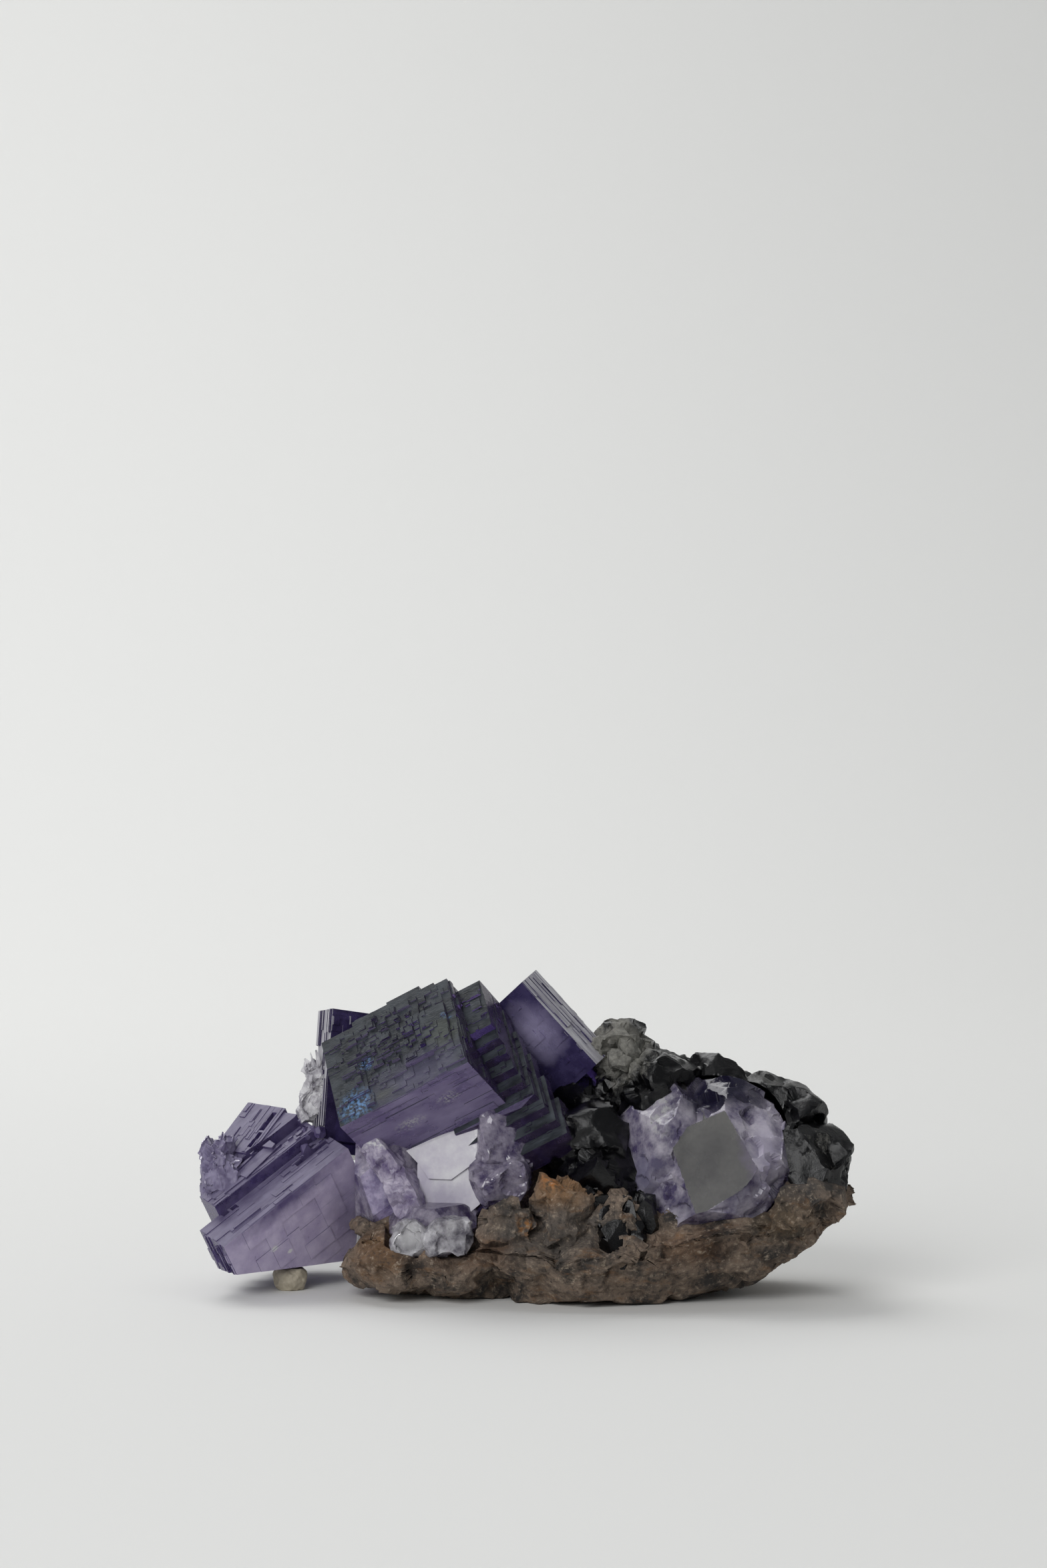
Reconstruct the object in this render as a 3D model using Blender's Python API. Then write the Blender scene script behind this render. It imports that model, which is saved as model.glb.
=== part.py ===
"""A cluster of purple fluorite cubes on black sphalerite and brown host rock, as closed solids.

Named sizes are millimetres, and the meshes are made in Blender's metres. X runs to the specimen's
right, Y away from its front and Z up. The origin is on the flat that it rests on, near its middle.
"""

import itertools
import math
import random
from dataclasses import dataclass

import bmesh
import bpy
from mathutils import Euler, Matrix, Vector, noise

MM = 0.001
SEAT_GAP = 0.3          # clearance between pieces that grew against each other
LUMP_GAP = 0.45         # the same round a rough lump, whose surface wanders

# Centre crystal: its reference corner is the top right one of the big stepped face
CENTRE_CORNER = (-12.2, 6.0, 47.5)
CENTRE_TURN = (-42.2, -27.8, -12.0)
CENTRE_WIDTH = 22.0     # along the crystal's own X, to the left of the corner
CENTRE_DEPTH = 22.0     # along its own Y, behind the stepped face
CENTRE_HEIGHT = 17.0    # along its own Z, below the corner

# Staircase of plates on the centre crystal's right side
STAIR_SETBACK = 3.7     # the first plate starts this far behind the stepped face
STAIR_TREAD = 1.66
STAIR_COUNT = 9
STAIR_FIRST_FOOT = 9.0  # the first plate hangs this far below the crystal's top
STAIR_DROP = 1.8        # and each next one this much further
STAIR_FIRST_REACH = 3.75
STAIR_SHOULDER = 9.7    # behind this depth the plates' tops fall and their sides reach out
STAIR_TOP_FALL = 2.2    # fall of the top for each unit of depth past the shoulder
STAIR_SIDE_GAIN = 0.38  # reach gained for each unit of depth past the shoulder
STAIR_ROOT = -9.0       # how far into the crystal the plates run

# Left crystal: its reference corner is the lowest left one, where three faces meet
LEFT_CORNER = (-45.2, -4.0, 8.4)
LEFT_TURN = (-71.9, -32.8, 28.6)
LEFT_LENGTH = 24.6
LEFT_FLOOR = 3.7        # height above the table at which its underside is broken off
LEFT_BREAK = (-26.4, 6.0, 17.0)
LEFT_FAN = (9.0, 21.0)  # degrees by which the two highest terraces lean up from the band

BACK_LEFT_CORNER = (-29.7, 14.0, 42.1)
BACK_LEFT_TURN = (-10.8, 10.2, 29.5)
BACK_RIGHT_CORNER = (-0.9, 10.0, 46.5)
BACK_RIGHT_TURN = (21.7, -37.9, -40.6)

# Right crystal: three flat faces meet at one corner, and the rest of it is rough fracture
RIGHT_CENTRE = (26.0, 1.0, 21.5)
RIGHT_HALF = (13.6, 13.0, 12.2)
RIGHT_TURN = (-32.7, -15.7, -18.0)
RIGHT_WINDOW = 5.9      # from its centre to the flat cleavage in front
RIGHT_SIDE = 13.0       # and to the two faces that meet the cleavage at the lowest corner
RIGHT_FOOT = 12.2

# Host rock: a long lens whose right end is lifted
ROCK_CENTRE = (11.0, 5.0, 9.4)
ROCK_HALF = (40.0, 19.0, 11.4)
ROCK_TURN = (0.0, -6.0, 0.0)


@dataclass(frozen=True)
class Stand:
    """How a crystal stands: its reference corner, and the turn of its cube axes in degrees."""

    corner: tuple
    turn: tuple

    def matrix(self):
        """The crystal's own axes in the specimen's frame."""
        return Matrix.Translation(self.corner) @ turn_matrix(self.turn)

    def leaned(self, degrees, pivot):
        """The stand with its own X leaned up towards its own Z, about a point along its axes."""
        lean = Matrix.Rotation(-math.radians(degrees), 4, "Y")
        matrix = self.matrix() @ Matrix.Translation(pivot) @ lean @ Matrix.Translation(pivot).inverted()
        turn = tuple(math.degrees(angle) for angle in matrix.to_euler())
        return Stand(tuple(matrix.translation), turn)


@dataclass(frozen=True)
class Block:
    """A cube-sided growth between two corners along a crystal's own axes, with broken-off sides.

    Each break is a point and an outward direction in the specimen's frame.
    """

    stand: Stand
    low: tuple
    high: tuple
    breaks: tuple = ()

    def mesh(self, grow=0.0):
        """The block as a mesh, each side moved out by grow."""
        low = Vector(self.low) - Vector((grow, grow, grow))
        high = Vector(self.high) + Vector((grow, grow, grow))
        bm = bmesh.new()
        bmesh.ops.create_cube(bm, size=1.0)
        place = self.stand.matrix() @ Matrix.Translation((low + high) / 2)
        bmesh.ops.transform(bm, matrix=place @ Matrix.Diagonal((*(high - low), 1.0)), verts=bm.verts)
        for point, outward in self.breaks:
            direction = Vector(outward).normalized()
            break_off(bm, Vector(point) + direction * grow, direction)
        return bm


@dataclass(frozen=True)
class Shard:
    """A flat-faced body: a box about a centre, broken by named and seeded planes.

    Each break is an outward direction and its distance from the centre. Seeded ones take off all
    eight corners and some edges, at a share of how far the box reaches that way.
    """

    centre: tuple
    half: tuple
    turn: tuple = (0.0, 0.0, 0.0)
    breaks: tuple = ()
    edges: int = 5
    seed: int = 0
    share: tuple = (0.56, 0.70)

    def mesh(self, grow=0.0):
        """The shard as a mesh, each face moved out by grow."""
        centre = Vector(self.centre)
        turn = turn_matrix(self.turn)
        size = (Vector(self.half) + Vector((grow, grow, grow))) * 2.0
        bm = bmesh.new()
        bmesh.ops.create_cube(bm, size=1.0)
        place = Matrix.Translation(centre) @ turn @ Matrix.Diagonal((*size, 1.0))
        bmesh.ops.transform(bm, matrix=place, verts=bm.verts)
        breaks = [(Vector(way).normalized(), distance) for way, distance in self.breaks]
        draw = random.Random(self.seed)
        corners = [Vector(signs) for signs in itertools.product((-1.0, 1.0), repeat=3)]
        edges = [Vector([draw.gauss(0.0, 1.0) for _ in range(3)]) for _ in range(self.edges)]
        for way in corners + edges:
            own = (way.normalized() + Vector([draw.uniform(-0.3, 0.3) for _ in range(3)])).normalized()
            reach = sum(abs(own[i]) * self.half[i] for i in range(3))
            breaks.append((turn.to_3x3() @ own, reach * draw.uniform(*self.share)))
        for way, distance in breaks:
            break_off(bm, centre + way * (distance + grow), way)
        return bm


@dataclass(frozen=True)
class Lump:
    """A rounded rough body, flattened where it broke or grew flat.

    Each flat is an outward direction and its distance from the centre.
    """

    centre: tuple
    half: tuple
    turn: tuple = (0.0, 0.0, 0.0)
    flats: tuple = ()
    seed: int = 0
    squareness: float = 2.4
    roughness: float = 0.3
    grain: float = 5.0
    detail: int = 3

    def mesh(self, grow=0.0):
        """The lump as a mesh, its surface moved out by grow."""
        bm = bmesh.new()
        bmesh.ops.create_icosphere(bm, subdivisions=self.detail, radius=1.0)
        turn = turn_matrix(self.turn).to_3x3()
        centre = Vector(self.centre)
        flats = [(Vector(way).normalized(), distance) for way, distance in self.flats]
        for vert in bm.verts:
            way = vert.co.normalized()
            power = sum(abs(part) ** self.squareness for part in way) ** (-1.0 / self.squareness)
            base = turn @ Vector([way[i] * power * self.half[i] for i in range(3)])
            outward = base.normalized()
            sample = (base + centre) / self.grain + Vector((self.seed, 0.0, 0.0))
            base += outward * (noise.noise(sample) * self.roughness * 2.0 + grow)
            for direction, distance in flats:
                over = base.dot(direction) - distance - grow
                if over > 0.0:
                    base -= direction * over
            vert.co = base + centre
        bmesh.ops.dissolve_limit(bm, angle_limit=math.radians(0.6), verts=bm.verts, edges=bm.edges)
        bmesh.ops.triangulate(bm, faces=bm.faces)
        return bm


def turn_matrix(degrees):
    """A rotation from three angles in degrees, about X, then Y, then Z."""
    return Euler([math.radians(angle) for angle in degrees]).to_matrix().to_4x4()


def break_off(bm, point, direction):
    """Cut away what is past a plane, and close the cut."""
    everything = bm.verts[:] + bm.edges[:] + bm.faces[:]
    cut = bmesh.ops.bisect_plane(
        bm, geom=everything, plane_co=point, plane_no=direction, clear_outer=True)
    rim = [item for item in cut["geom_cut"] if isinstance(item, bmesh.types.BMEdge)]
    if rim:
        bmesh.ops.contextual_create(bm, geom=rim)
    bmesh.ops.recalc_face_normals(bm, faces=bm.faces)


def centre_growths():
    """The centre crystal: its main cube, low terraces on two sides and the staircase of plates."""
    stand = Stand(CENTRE_CORNER, CENTRE_TURN)
    growths = [Block(stand, (-CENTRE_WIDTH, 0.0, -CENTRE_HEIGHT), (0.0, CENTRE_DEPTH, 0.0))]
    top_terraces = ((-16.6, -10.2, 1.1), (-10.4, -4.7, 1.5), (-5.0, -2.3, 0.7))
    for left, right, rise in top_terraces:
        growths.append(Block(stand, (left, 0.25, -3.0), (right, 15.0, rise)))
    face_plates = (
        (-14.2, -5.2, -9.0, -0.9, 0.55),
        (-18.6, -12.0, -7.4, -2.1, 0.35),
        (-9.4, -1.2, -12.6, -4.6, 0.9),
        (-4.6, -0.1, -16.2, -10.4, 0.45),
        (-19.9, -16.0, -13.4, -6.0, 0.3),
    )
    for left, right, foot, top, rise in face_plates:
        growths.append(Block(stand, (left, -rise, foot), (right, 2.0, top)))
    for step in range(STAIR_COUNT):
        front = STAIR_SETBACK + step * STAIR_TREAD
        back = front + STAIR_TREAD + 0.4
        past = max(0.0, front - STAIR_SHOULDER)
        if step == STAIR_COUNT - 1:
            back = CENTRE_DEPTH - 0.6
        foot = -STAIR_FIRST_FOOT - step * STAIR_DROP
        reach = STAIR_FIRST_REACH + past * STAIR_SIDE_GAIN
        top = -past * STAIR_TOP_FALL - 0.03 * step
        growths.append(Block(stand, (STAIR_ROOT, front, foot), (reach, back, top)))
    return growths


def back_left_growths():
    """The cube that stands behind the centre crystal's left edge, with a rough pale flank."""
    stand = Stand(BACK_LEFT_CORNER, BACK_LEFT_TURN)
    return [
        Block(stand, (0.0, 0.0, -20.0), (14.0, 3.8, 0.0)),
        Block(stand, (3.2, 3.4, -21.5), (13.0, 9.5, -1.0)),
        Shard((-31.8, 15.0, 28.6), (3.6, 4.4, 7.4), seed=11),
    ]


def back_right_growths():
    """The cube behind the centre crystal's right edge, with steps down its back."""
    stand = Stand(BACK_RIGHT_CORNER, BACK_RIGHT_TURN)
    return [
        Block(stand, (-14.0, 0.0, -16.8), (0.0, 5.0, 0.0)),
        Block(stand, (-13.0, 4.0, -19.0), (-2.9, 9.0, -0.5)),
        Block(stand, (-12.0, 8.0, -18.0), (-6.4, 13.0, -1.2)),
        Block(stand, (-13.6, 1.4, -22.0), (-3.4, 9.5, -14.0)),
    ]


def front_growths():
    """The broken crystals in front of the centre one: a cleaved block, lobes, a wing and two bits."""
    cleavage = ((-0.12, -0.94, 0.31), 6.3)
    return [
        Shard((-12.4, 8.0, 18.6), (9.4, 9.4, 9.4), breaks=(cleavage,), edges=2, seed=3,
              share=(0.66, 0.80)),
        Shard((-4.4, 3.6, 21.6), (5.8, 6.0, 6.4), seed=5),
        Shard((-3.0, 1.4, 16.8), (5.8, 6.0, 5.0), seed=8),
        Shard((-20.6, 3.4, 18.6), (3.2, 4.6, 9.4), turn=(0.0, -34.0, 0.0), seed=9),
        Shard((-21.6, 9.6, 15.0), (4.8, 6.5, 8.5), seed=12),
        Shard((-17.6, -3.4, 10.2), (3.7, 4.8, 3.9), seed=14),
        Shard((-11.0, -3.4, 10.6), (4.7, 5.0, 3.8), seed=17),
    ]


def left_growths():
    """The left crystal: a band along its lowest edge, terraces behind it and a rough left flank.

    The two highest terraces fan out: each is turned in the plane of the crystal's front.
    """
    stand = Stand(LEFT_CORNER, LEFT_TURN)
    middle = stand.leaned(LEFT_FAN[0], (14.0, 0.0, 12.6))
    highest = stand.leaned(LEFT_FAN[1], (20.6, 0.0, 19.8))
    breaks = (
        ((0.0, 0.0, LEFT_FLOOR), (0.0, 0.0, -1.0)),
        (LEFT_BREAK, (1.0, -0.1, -0.14)),
        ((-40.0, 25.5, 15.0), (-0.25, 1.0, -0.1)),
    )
    return [
        Block(stand, (0.0, 0.0, 0.0), (LEFT_LENGTH, 26.0, 6.5), breaks),
        Block(stand, (3.7, -1.9, 6.3), (LEFT_LENGTH - 0.9, 25.0, 10.5), breaks),
        Block(middle, (6.9, -3.4, 9.6), (20.9, 22.0, 15.0), breaks),
        Block(highest, (10.4, -4.2, 12.6), (20.6, 21.0, 19.8), breaks),
        Lump((-46.4, 8.0, 18.4), (3.4, 3.4, 8.4), turn=(-40.0, 0.0, 0.0), seed=15, roughness=0.5,
             grain=3.0),
    ]


def right_growths():
    """The right crystal: three flat faces that meet at one corner, and large fractures round them."""
    turn = turn_matrix(RIGHT_TURN).to_3x3()
    flats = (
        (tuple(turn @ Vector((0.0, -1.0, 0.0))), RIGHT_WINDOW),
        (tuple(turn @ Vector((1.0, 0.0, 0.0))), RIGHT_SIDE),
        (tuple(turn @ Vector((0.0, 0.0, -1.0))), RIGHT_FOOT),
        ((-0.76, -0.60, 0.25), 5.4),
        ((-0.45, -0.50, 0.74), 5.8),
        ((0.35, -0.55, 0.76), 11.2),
        ((-0.70, -0.60, -0.38), 10.1),
    )
    whole = Lump(RIGHT_CENTRE, RIGHT_HALF, flats=flats, seed=23, squareness=2.6, roughness=0.45,
                 grain=6.0, detail=4)
    shoulder = Lump((19.6, 5.2, 22.4), (7.1, 8.0, 10.4), seed=29, roughness=0.6, grain=4.0,
                    flats=(((-0.76, -0.60, 0.25), 5.0), ((-0.45, -0.50, 0.74), 6.4)))
    return [whole, shoulder]


def sphalerite_growths():
    """The black crust: a bed over the rock, and the crystals that stand out of it."""
    crystals = (
        ((13.8, 14.0, 34.6), (5.4, 6.2, 5.8)),
        ((20.4, 11.0, 29.8), (7.4, 7.4, 6.0)),
        ((28.0, 12.0, 28.8), (7.6, 7.4, 5.6)),
        ((37.4, 7.0, 24.0), (7.6, 8.4, 5.8)),
        ((40.2, 2.5, 18.4), (7.6, 9.2, 7.6)),
        ((10.6, 8.0, 21.0), (7.4, 7.0, 9.0)),
        ((10.6, 2.0, 15.6), (7.4, 8.0, 7.2)),
        ((9.5, 14.0, 24.0), (6.5, 7.5, 6.0)),
        ((-4.0, 20.0, 24.0), (10.0, 8.0, 10.0)),
        ((33.0, 18.0, 22.0), (9.0, 7.5, 7.0)),
    )
    bed = Shard((17.0, 10.5, 18.4), (24.0, 12.0, 8.4), seed=31, share=(0.72, 0.86))
    return [bed] + [
        Shard(centre, half, turn=(17.0 * index, 23.0 * index, 31.0 * index), seed=40 + index)
        for index, (centre, half) in enumerate(crystals)
    ]


def rock_growths():
    """The host rock: a long lens with a worn top and a broken left end, and bladed knobs in front."""
    flats = (
        ((0.0, 0.0, -1.0), ROCK_CENTRE[2]),
        ((0.2, -0.80, -0.56), 15.5),
        ((-0.3, -0.76, -0.56), 16.5),
        ((-0.1, 0.8, -0.6), 17.5),
        ((-0.115, -0.45, 0.885), 7.45),
        ((0.64, 0.0, -0.77), 20.3),
        ((-0.87, -0.20, 0.45), 32.3),
    )
    body = Lump(ROCK_CENTRE, ROCK_HALF, turn=ROCK_TURN, flats=flats, seed=71, squareness=2.7,
                roughness=0.7, grain=9.0, detail=4)
    right_shoulder = Lump((38.5, 0.5, 12.6), (11.4, 11.5, 6.6), turn=(0.0, -14.0, 0.0), seed=73,
                          flats=(((0.2, -0.80, -0.56), 9.0), ((0.64, 0.0, -0.77), 5.2)),
                          roughness=0.6, grain=6.0)
    knobs = [
        Shard((5.2, -4.2, 13.4), (7.0, 7.0, 8.4), turn=(10.0, 15.0, 25.0), seed=77),
        Shard((-2.4, -3.4, 11.0), (7.0, 6.2, 6.4), turn=(0.0, -20.0, 10.0), seed=78),
        Shard((13.2, -4.0, 11.2), (6.4, 6.8, 6.8), turn=(5.0, 10.0, -15.0), seed=79),
    ]
    return [body, right_shoulder] + knobs


def putty_growths():
    """The ball of putty, pressed flat under the left crystal and on the table."""
    flats = (((0.0, 0.0, -1.0), 1.7), ((0.0, 0.0, 1.0), 1.68))
    return [Lump((-36.0, 8.0, 1.7), (2.6, 2.4, 2.3), flats=flats, seed=5, roughness=0.12, grain=1.6)]


def make_object(name, bm, collection):
    """An object in a collection from a mesh in millimetres, with its origin on the specimen's."""
    bmesh.ops.scale(bm, vec=(MM, MM, MM), verts=bm.verts)
    mesh = bpy.data.meshes.new(name)
    bm.to_mesh(mesh)
    bm.free()
    made = bpy.data.objects.new(name, mesh)
    collection.objects.link(made)
    return made


def make_cutter(name, bm, collection):
    """A body that only shapes others: shown as wire, and not part of the specimen."""
    cutter = make_object(name, bm, collection)
    cutter.hide_render = True
    cutter.display_type = "WIRE"
    return cutter


def child_collection(name, parent):
    """A new collection inside another."""
    made = bpy.data.collections.new(name)
    parent.children.link(made)
    return made


def add_boolean(piece, operation, cutter):
    """Join or cut a piece with one body.

    All bodies are closed, and the exact solver leaves slivers where many of their faces cross.
    """
    step = piece.modifiers.new(cutter.name, "BOOLEAN")
    step.operation = operation
    step.object = cutter
    step.solver = "MANIFOLD"


def make_piece(name, growths, finish, parts, cutters):
    """One solid from growths that overlap."""
    piece = make_object(name, growths[0].mesh(), parts)
    piece.data.materials.append(finish)
    for index, growth in enumerate(growths[1:], start=1):
        add_boolean(piece, "UNION", make_cutter(f"{name} growth {index}", growth.mesh(), cutters))
    return piece


def cut_seats(piece, growths, cutters):
    """Cut a piece back from the pieces that it grew against, leaving a small gap."""
    for index, growth in enumerate(growths):
        gap = LUMP_GAP if isinstance(growth, Lump) else SEAT_GAP
        cutter = make_cutter(f"{piece.name} seat {index}", growth.mesh(gap), cutters)
        add_boolean(piece, "DIFFERENCE", cutter)


def drop_chips(piece):
    """Settle a cut piece's mesh, and leave out the loose chips that its seats cut free."""
    evaluated = piece.evaluated_get(bpy.context.evaluated_depsgraph_get())
    settled = bpy.data.meshes.new_from_object(evaluated)
    bm = bmesh.new()
    bm.from_mesh(settled)
    waiting = set(bm.verts)
    bodies = []
    while waiting:
        body = {waiting.pop()}
        edge_of_search = list(body)
        while edge_of_search:
            vert = edge_of_search.pop()
            fresh = {edge.other_vert(vert) for edge in vert.link_edges} - body
            body |= fresh
            edge_of_search.extend(fresh)
        waiting -= body
        bodies.append(body)
    bodies.sort(key=len)
    for chip in bodies[:-1]:
        bmesh.ops.delete(bm, geom=list(chip), context="VERTS")
    bm.to_mesh(settled)
    bm.free()
    piece.modifiers.clear()
    piece.data = settled


def make_finish(name, colour, roughness, metallic=0.0, transmission=0.0, ior=1.5):
    """A Principled material."""
    finish = bpy.data.materials.new(name)
    finish.use_nodes = True
    shader = finish.node_tree.nodes["Principled BSDF"]
    shader.inputs["Base Color"].default_value = (*colour, 1.0)
    shader.inputs["Roughness"].default_value = roughness
    shader.inputs["Metallic"].default_value = metallic
    shader.inputs["Transmission Weight"].default_value = transmission
    shader.inputs["IOR"].default_value = ior
    return finish


def fluorite_finish(name, colour, roughness, transmission):
    """Clear fluorite of one tint."""
    return make_finish(name, colour, roughness, transmission=transmission, ior=1.434)


def rock_finish():
    """Brown, rust-stained host rock."""
    return make_finish("brown_host_rock", (0.09, 0.055, 0.035), 0.85)


def sphalerite_finish():
    """Black sphalerite with a resinous gloss."""
    return make_finish("black_sphalerite", (0.012, 0.012, 0.013), 0.28, ior=2.37)


def putty_finish():
    """Matt beige putty."""
    return make_finish("beige_putty", (0.42, 0.37, 0.30), 0.8)


def main():
    """Clear the scene and build the specimen's pieces."""
    for old in list(bpy.data.objects):
        bpy.data.objects.remove(old, do_unlink=True)
    root = bpy.context.scene.collection
    parts = child_collection("fluorite_cluster", root)
    cutters = child_collection("cutters", root)

    left = left_growths()
    centre = centre_growths() + back_left_growths() + back_right_growths() + front_growths()
    right = right_growths()
    crust = sphalerite_growths()
    putty = putty_growths()
    crystals = left + centre + right

    make_piece("fluorite_left_stack", left,
               fluorite_finish("frosted_purple_fluorite", (0.16, 0.12, 0.24), 0.45, 0.5), parts, cutters)
    cluster = make_piece("fluorite_centre_cluster", centre,
                         fluorite_finish("deep_purple_fluorite", (0.07, 0.04, 0.16), 0.12, 0.8),
                         parts, cutters)
    cut_seats(cluster, left, cutters)
    boulder = make_piece("fluorite_right_cleaved", right,
                         fluorite_finish("pale_cleaved_fluorite", (0.35, 0.30, 0.45), 0.1, 0.9),
                         parts, cutters)
    cut_seats(boulder, centre, cutters)
    black = make_piece("sphalerite_crust", crust, sphalerite_finish(), parts, cutters)
    cut_seats(black, crystals, cutters)
    rock = make_piece("matrix_rock", rock_growths(), rock_finish(), parts, cutters)
    cut_seats(rock, crystals + crust + putty, cutters)
    make_piece("putty_rest", putty, putty_finish(), parts, cutters)
    for piece in (cluster, boulder, black, rock):
        drop_chips(piece)


main()
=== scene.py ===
"""The looks of a fluorite cube cluster on sphalerite and host rock: fine shapes, finishes and light.

Named sizes are millimetres, and meshes end up in Blender's metres. X runs to the specimen's right,
Y away from its front and Z up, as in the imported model. Each crystal has its own axes along its cube
edges, set by its stand.
"""

import itertools
import logging
import math
import random
from dataclasses import dataclass, field, replace
from enum import Enum
from typing import Protocol

import bmesh
import bpy
import numpy as np
from mathutils import Euler, Matrix, Vector, noise


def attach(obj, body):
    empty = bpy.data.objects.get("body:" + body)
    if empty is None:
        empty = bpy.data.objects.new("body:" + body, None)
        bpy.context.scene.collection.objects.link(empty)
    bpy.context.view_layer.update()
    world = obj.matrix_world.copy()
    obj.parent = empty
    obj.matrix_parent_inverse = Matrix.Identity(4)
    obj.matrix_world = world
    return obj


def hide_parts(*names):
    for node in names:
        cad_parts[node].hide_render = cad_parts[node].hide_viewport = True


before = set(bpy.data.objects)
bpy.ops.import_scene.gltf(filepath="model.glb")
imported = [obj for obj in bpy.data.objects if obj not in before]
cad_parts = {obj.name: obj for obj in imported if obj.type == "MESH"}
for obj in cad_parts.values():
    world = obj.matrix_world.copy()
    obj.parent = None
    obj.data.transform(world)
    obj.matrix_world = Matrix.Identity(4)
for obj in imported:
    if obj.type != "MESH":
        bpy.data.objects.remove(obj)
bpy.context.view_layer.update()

log = logging.getLogger("fluorite_cluster")

Triple = tuple[float, float, float]
Pair = tuple[float, float]
Flat = tuple[Triple, float]         # an outward direction and its distance from a centre
Break = tuple[Triple, Triple]       # a point of a plane and the plane's outward direction
Spot = tuple[Triple, Triple]        # a body's centre and its half sizes
Corners = tuple[Triple, Triple]     # a block's lowest and highest corners

MM = 0.001
BODY = "root"
CRYSTAL_NODES = ("fluorite_centre_cluster", "fluorite_left_stack", "fluorite_right_cleaved")
FLUORITE_IOR = 1.434
SPHALERITE_IOR = 2.37
EVERYWHERE = ((-99.0, -99.0, -99.0), (99.0, 99.0, 99.0))
WELD = 1e-4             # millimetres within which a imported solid's corners are one
ON_FLAT = 0.02          # millimetres within which a point counts as on a flat
SAME_WAY = 0.985        # cosine above which a face counts as looking a given way
RELIEF_SHARE = 0.6      # share of its height that relief takes away where its noise is nought
RELIEF_SEED = 31        # keeps the relief's noise apart from the body's

# Sockets of the Mix node when it mixes colours
MIX_A = 6
MIX_B = 7
MIX_OUT = 2


def linear(code: str) -> tuple[float, float, float, float]:
    """Turn an sRGB hex colour into Blender's linear one.

    Args:
        code: six hex digits after a #.

    Returns:
        Red, green, blue and an alpha of one.
    """
    shares = [int(code[i:i + 2], 16) / 255.0 for i in (1, 3, 5)]
    parts = [v / 12.92 if v <= 0.04045 else ((v + 0.055) / 1.055) ** 2.4 for v in shares]
    return (*parts, 1.0)


def per_mm(size: float) -> float:
    """Texture scale at which one cell is size millimetres across."""
    return 1.0 / (size * MM)


def turn_matrix(degrees: Triple) -> Matrix:
    """Turn three angles about X, then Y, then Z, in degrees, into a rotation."""
    return Euler([math.radians(angle) for angle in degrees]).to_matrix().to_4x4()


def any_turn(draw: random.Random) -> Triple:
    """A random turn of up to 90 degrees about each axis."""
    return tuple(draw.uniform(0.0, 90.0) for _ in range(3))


def add_node(tree: bpy.types.NodeTree, kind: str, settings: dict | None = None,
             links: dict | None = None) -> bpy.types.Node:
    """Add a shader node with its settings and what feeds it.

    Args:
        tree: the material's or world's nodes.
        kind: the node's type.
        settings: properties by name, and values of inputs by name or number.
        links: outputs of other nodes, by the name or number of the input they feed.

    Returns:
        The new node.
    """
    node = tree.nodes.new(kind)
    for key, value in (settings or {}).items():
        if isinstance(key, str) and hasattr(node, key):
            setattr(node, key, value)
        else:
            node.inputs[key].default_value = value
    for key, source in (links or {}).items():
        tree.links.new(source, node.inputs[key])
    return node


class Side(Enum):
    """A cube's six sides, as outward directions along its own axes."""

    LEFT = (-1, 0, 0)
    RIGHT = (1, 0, 0)
    FRONT = (0, -1, 0)
    BACK = (0, 1, 0)
    FOOT = (0, 0, -1)
    TOP = (0, 0, 1)

    @property
    def axis(self) -> int:
        """Number of the axis that the side faces along."""
        return [abs(part) for part in self.value].index(1)

    @property
    def sign(self) -> int:
        """One if the side faces up its axis, and minus one if down."""
        return sum(self.value)

    @property
    def across(self) -> tuple[int, int]:
        """Numbers of the two axes that lie in the side."""
        return tuple(i for i in range(3) if i != self.axis)


@dataclass(frozen=True)
class Stand:
    """How a crystal stands: its reference corner, and the turn of its cube axes in degrees."""

    corner: Triple = (0.0, 0.0, 0.0)
    turn: Triple = (0.0, 0.0, 0.0)

    def matrix(self) -> Matrix:
        """The crystal's own axes in the specimen's frame, in millimetres."""
        return Matrix.Translation(self.corner) @ turn_matrix(self.turn)

    def outward(self, side: Side) -> Vector:
        """The way that one side of the crystal looks, in the specimen's frame."""
        return turn_matrix(self.turn).to_3x3() @ Vector(side.value)

    def leaned(self, degrees: float, pivot: Triple) -> "Stand":
        """Lean the stand's own X up towards its own Z.

        Args:
            degrees: how far it leans.
            pivot: the point along its own axes that stays in place.

        Returns:
            The leaned stand.
        """
        lean = Matrix.Rotation(-math.radians(degrees), 4, "Y")
        matrix = self.matrix() @ Matrix.Translation(pivot) @ lean @ Matrix.Translation(pivot).inverted()
        turn = tuple(math.degrees(angle) for angle in matrix.to_euler())
        return Stand(tuple(matrix.translation), turn)


class Body(Protocol):
    """Anything that can be grown together with others."""

    def mesh(self, grow: float = 0.0) -> bmesh.types.BMesh:
        """The body in millimetres in the specimen's frame, its surface moved out by grow."""


@dataclass(frozen=True)
class PackedSolid:
    """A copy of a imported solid, to cut a neighbour back with."""

    node: str

    def mesh(self, grow: float = 0.0) -> bmesh.types.BMesh:
        """The solid with its corners welded; it doesn't grow.

        Args:
            grow: is left unused, because the solid is what neighbours fit.

        Returns:
            The mesh in millimetres, in the specimen's frame.
        """
        bm = bmesh.new()
        bm.from_mesh(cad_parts[self.node].data)
        bmesh.ops.scale(bm, vec=(1.0 / MM,) * 3, verts=bm.verts)
        bmesh.ops.remove_doubles(bm, verts=bm.verts, dist=WELD)
        return bm


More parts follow.
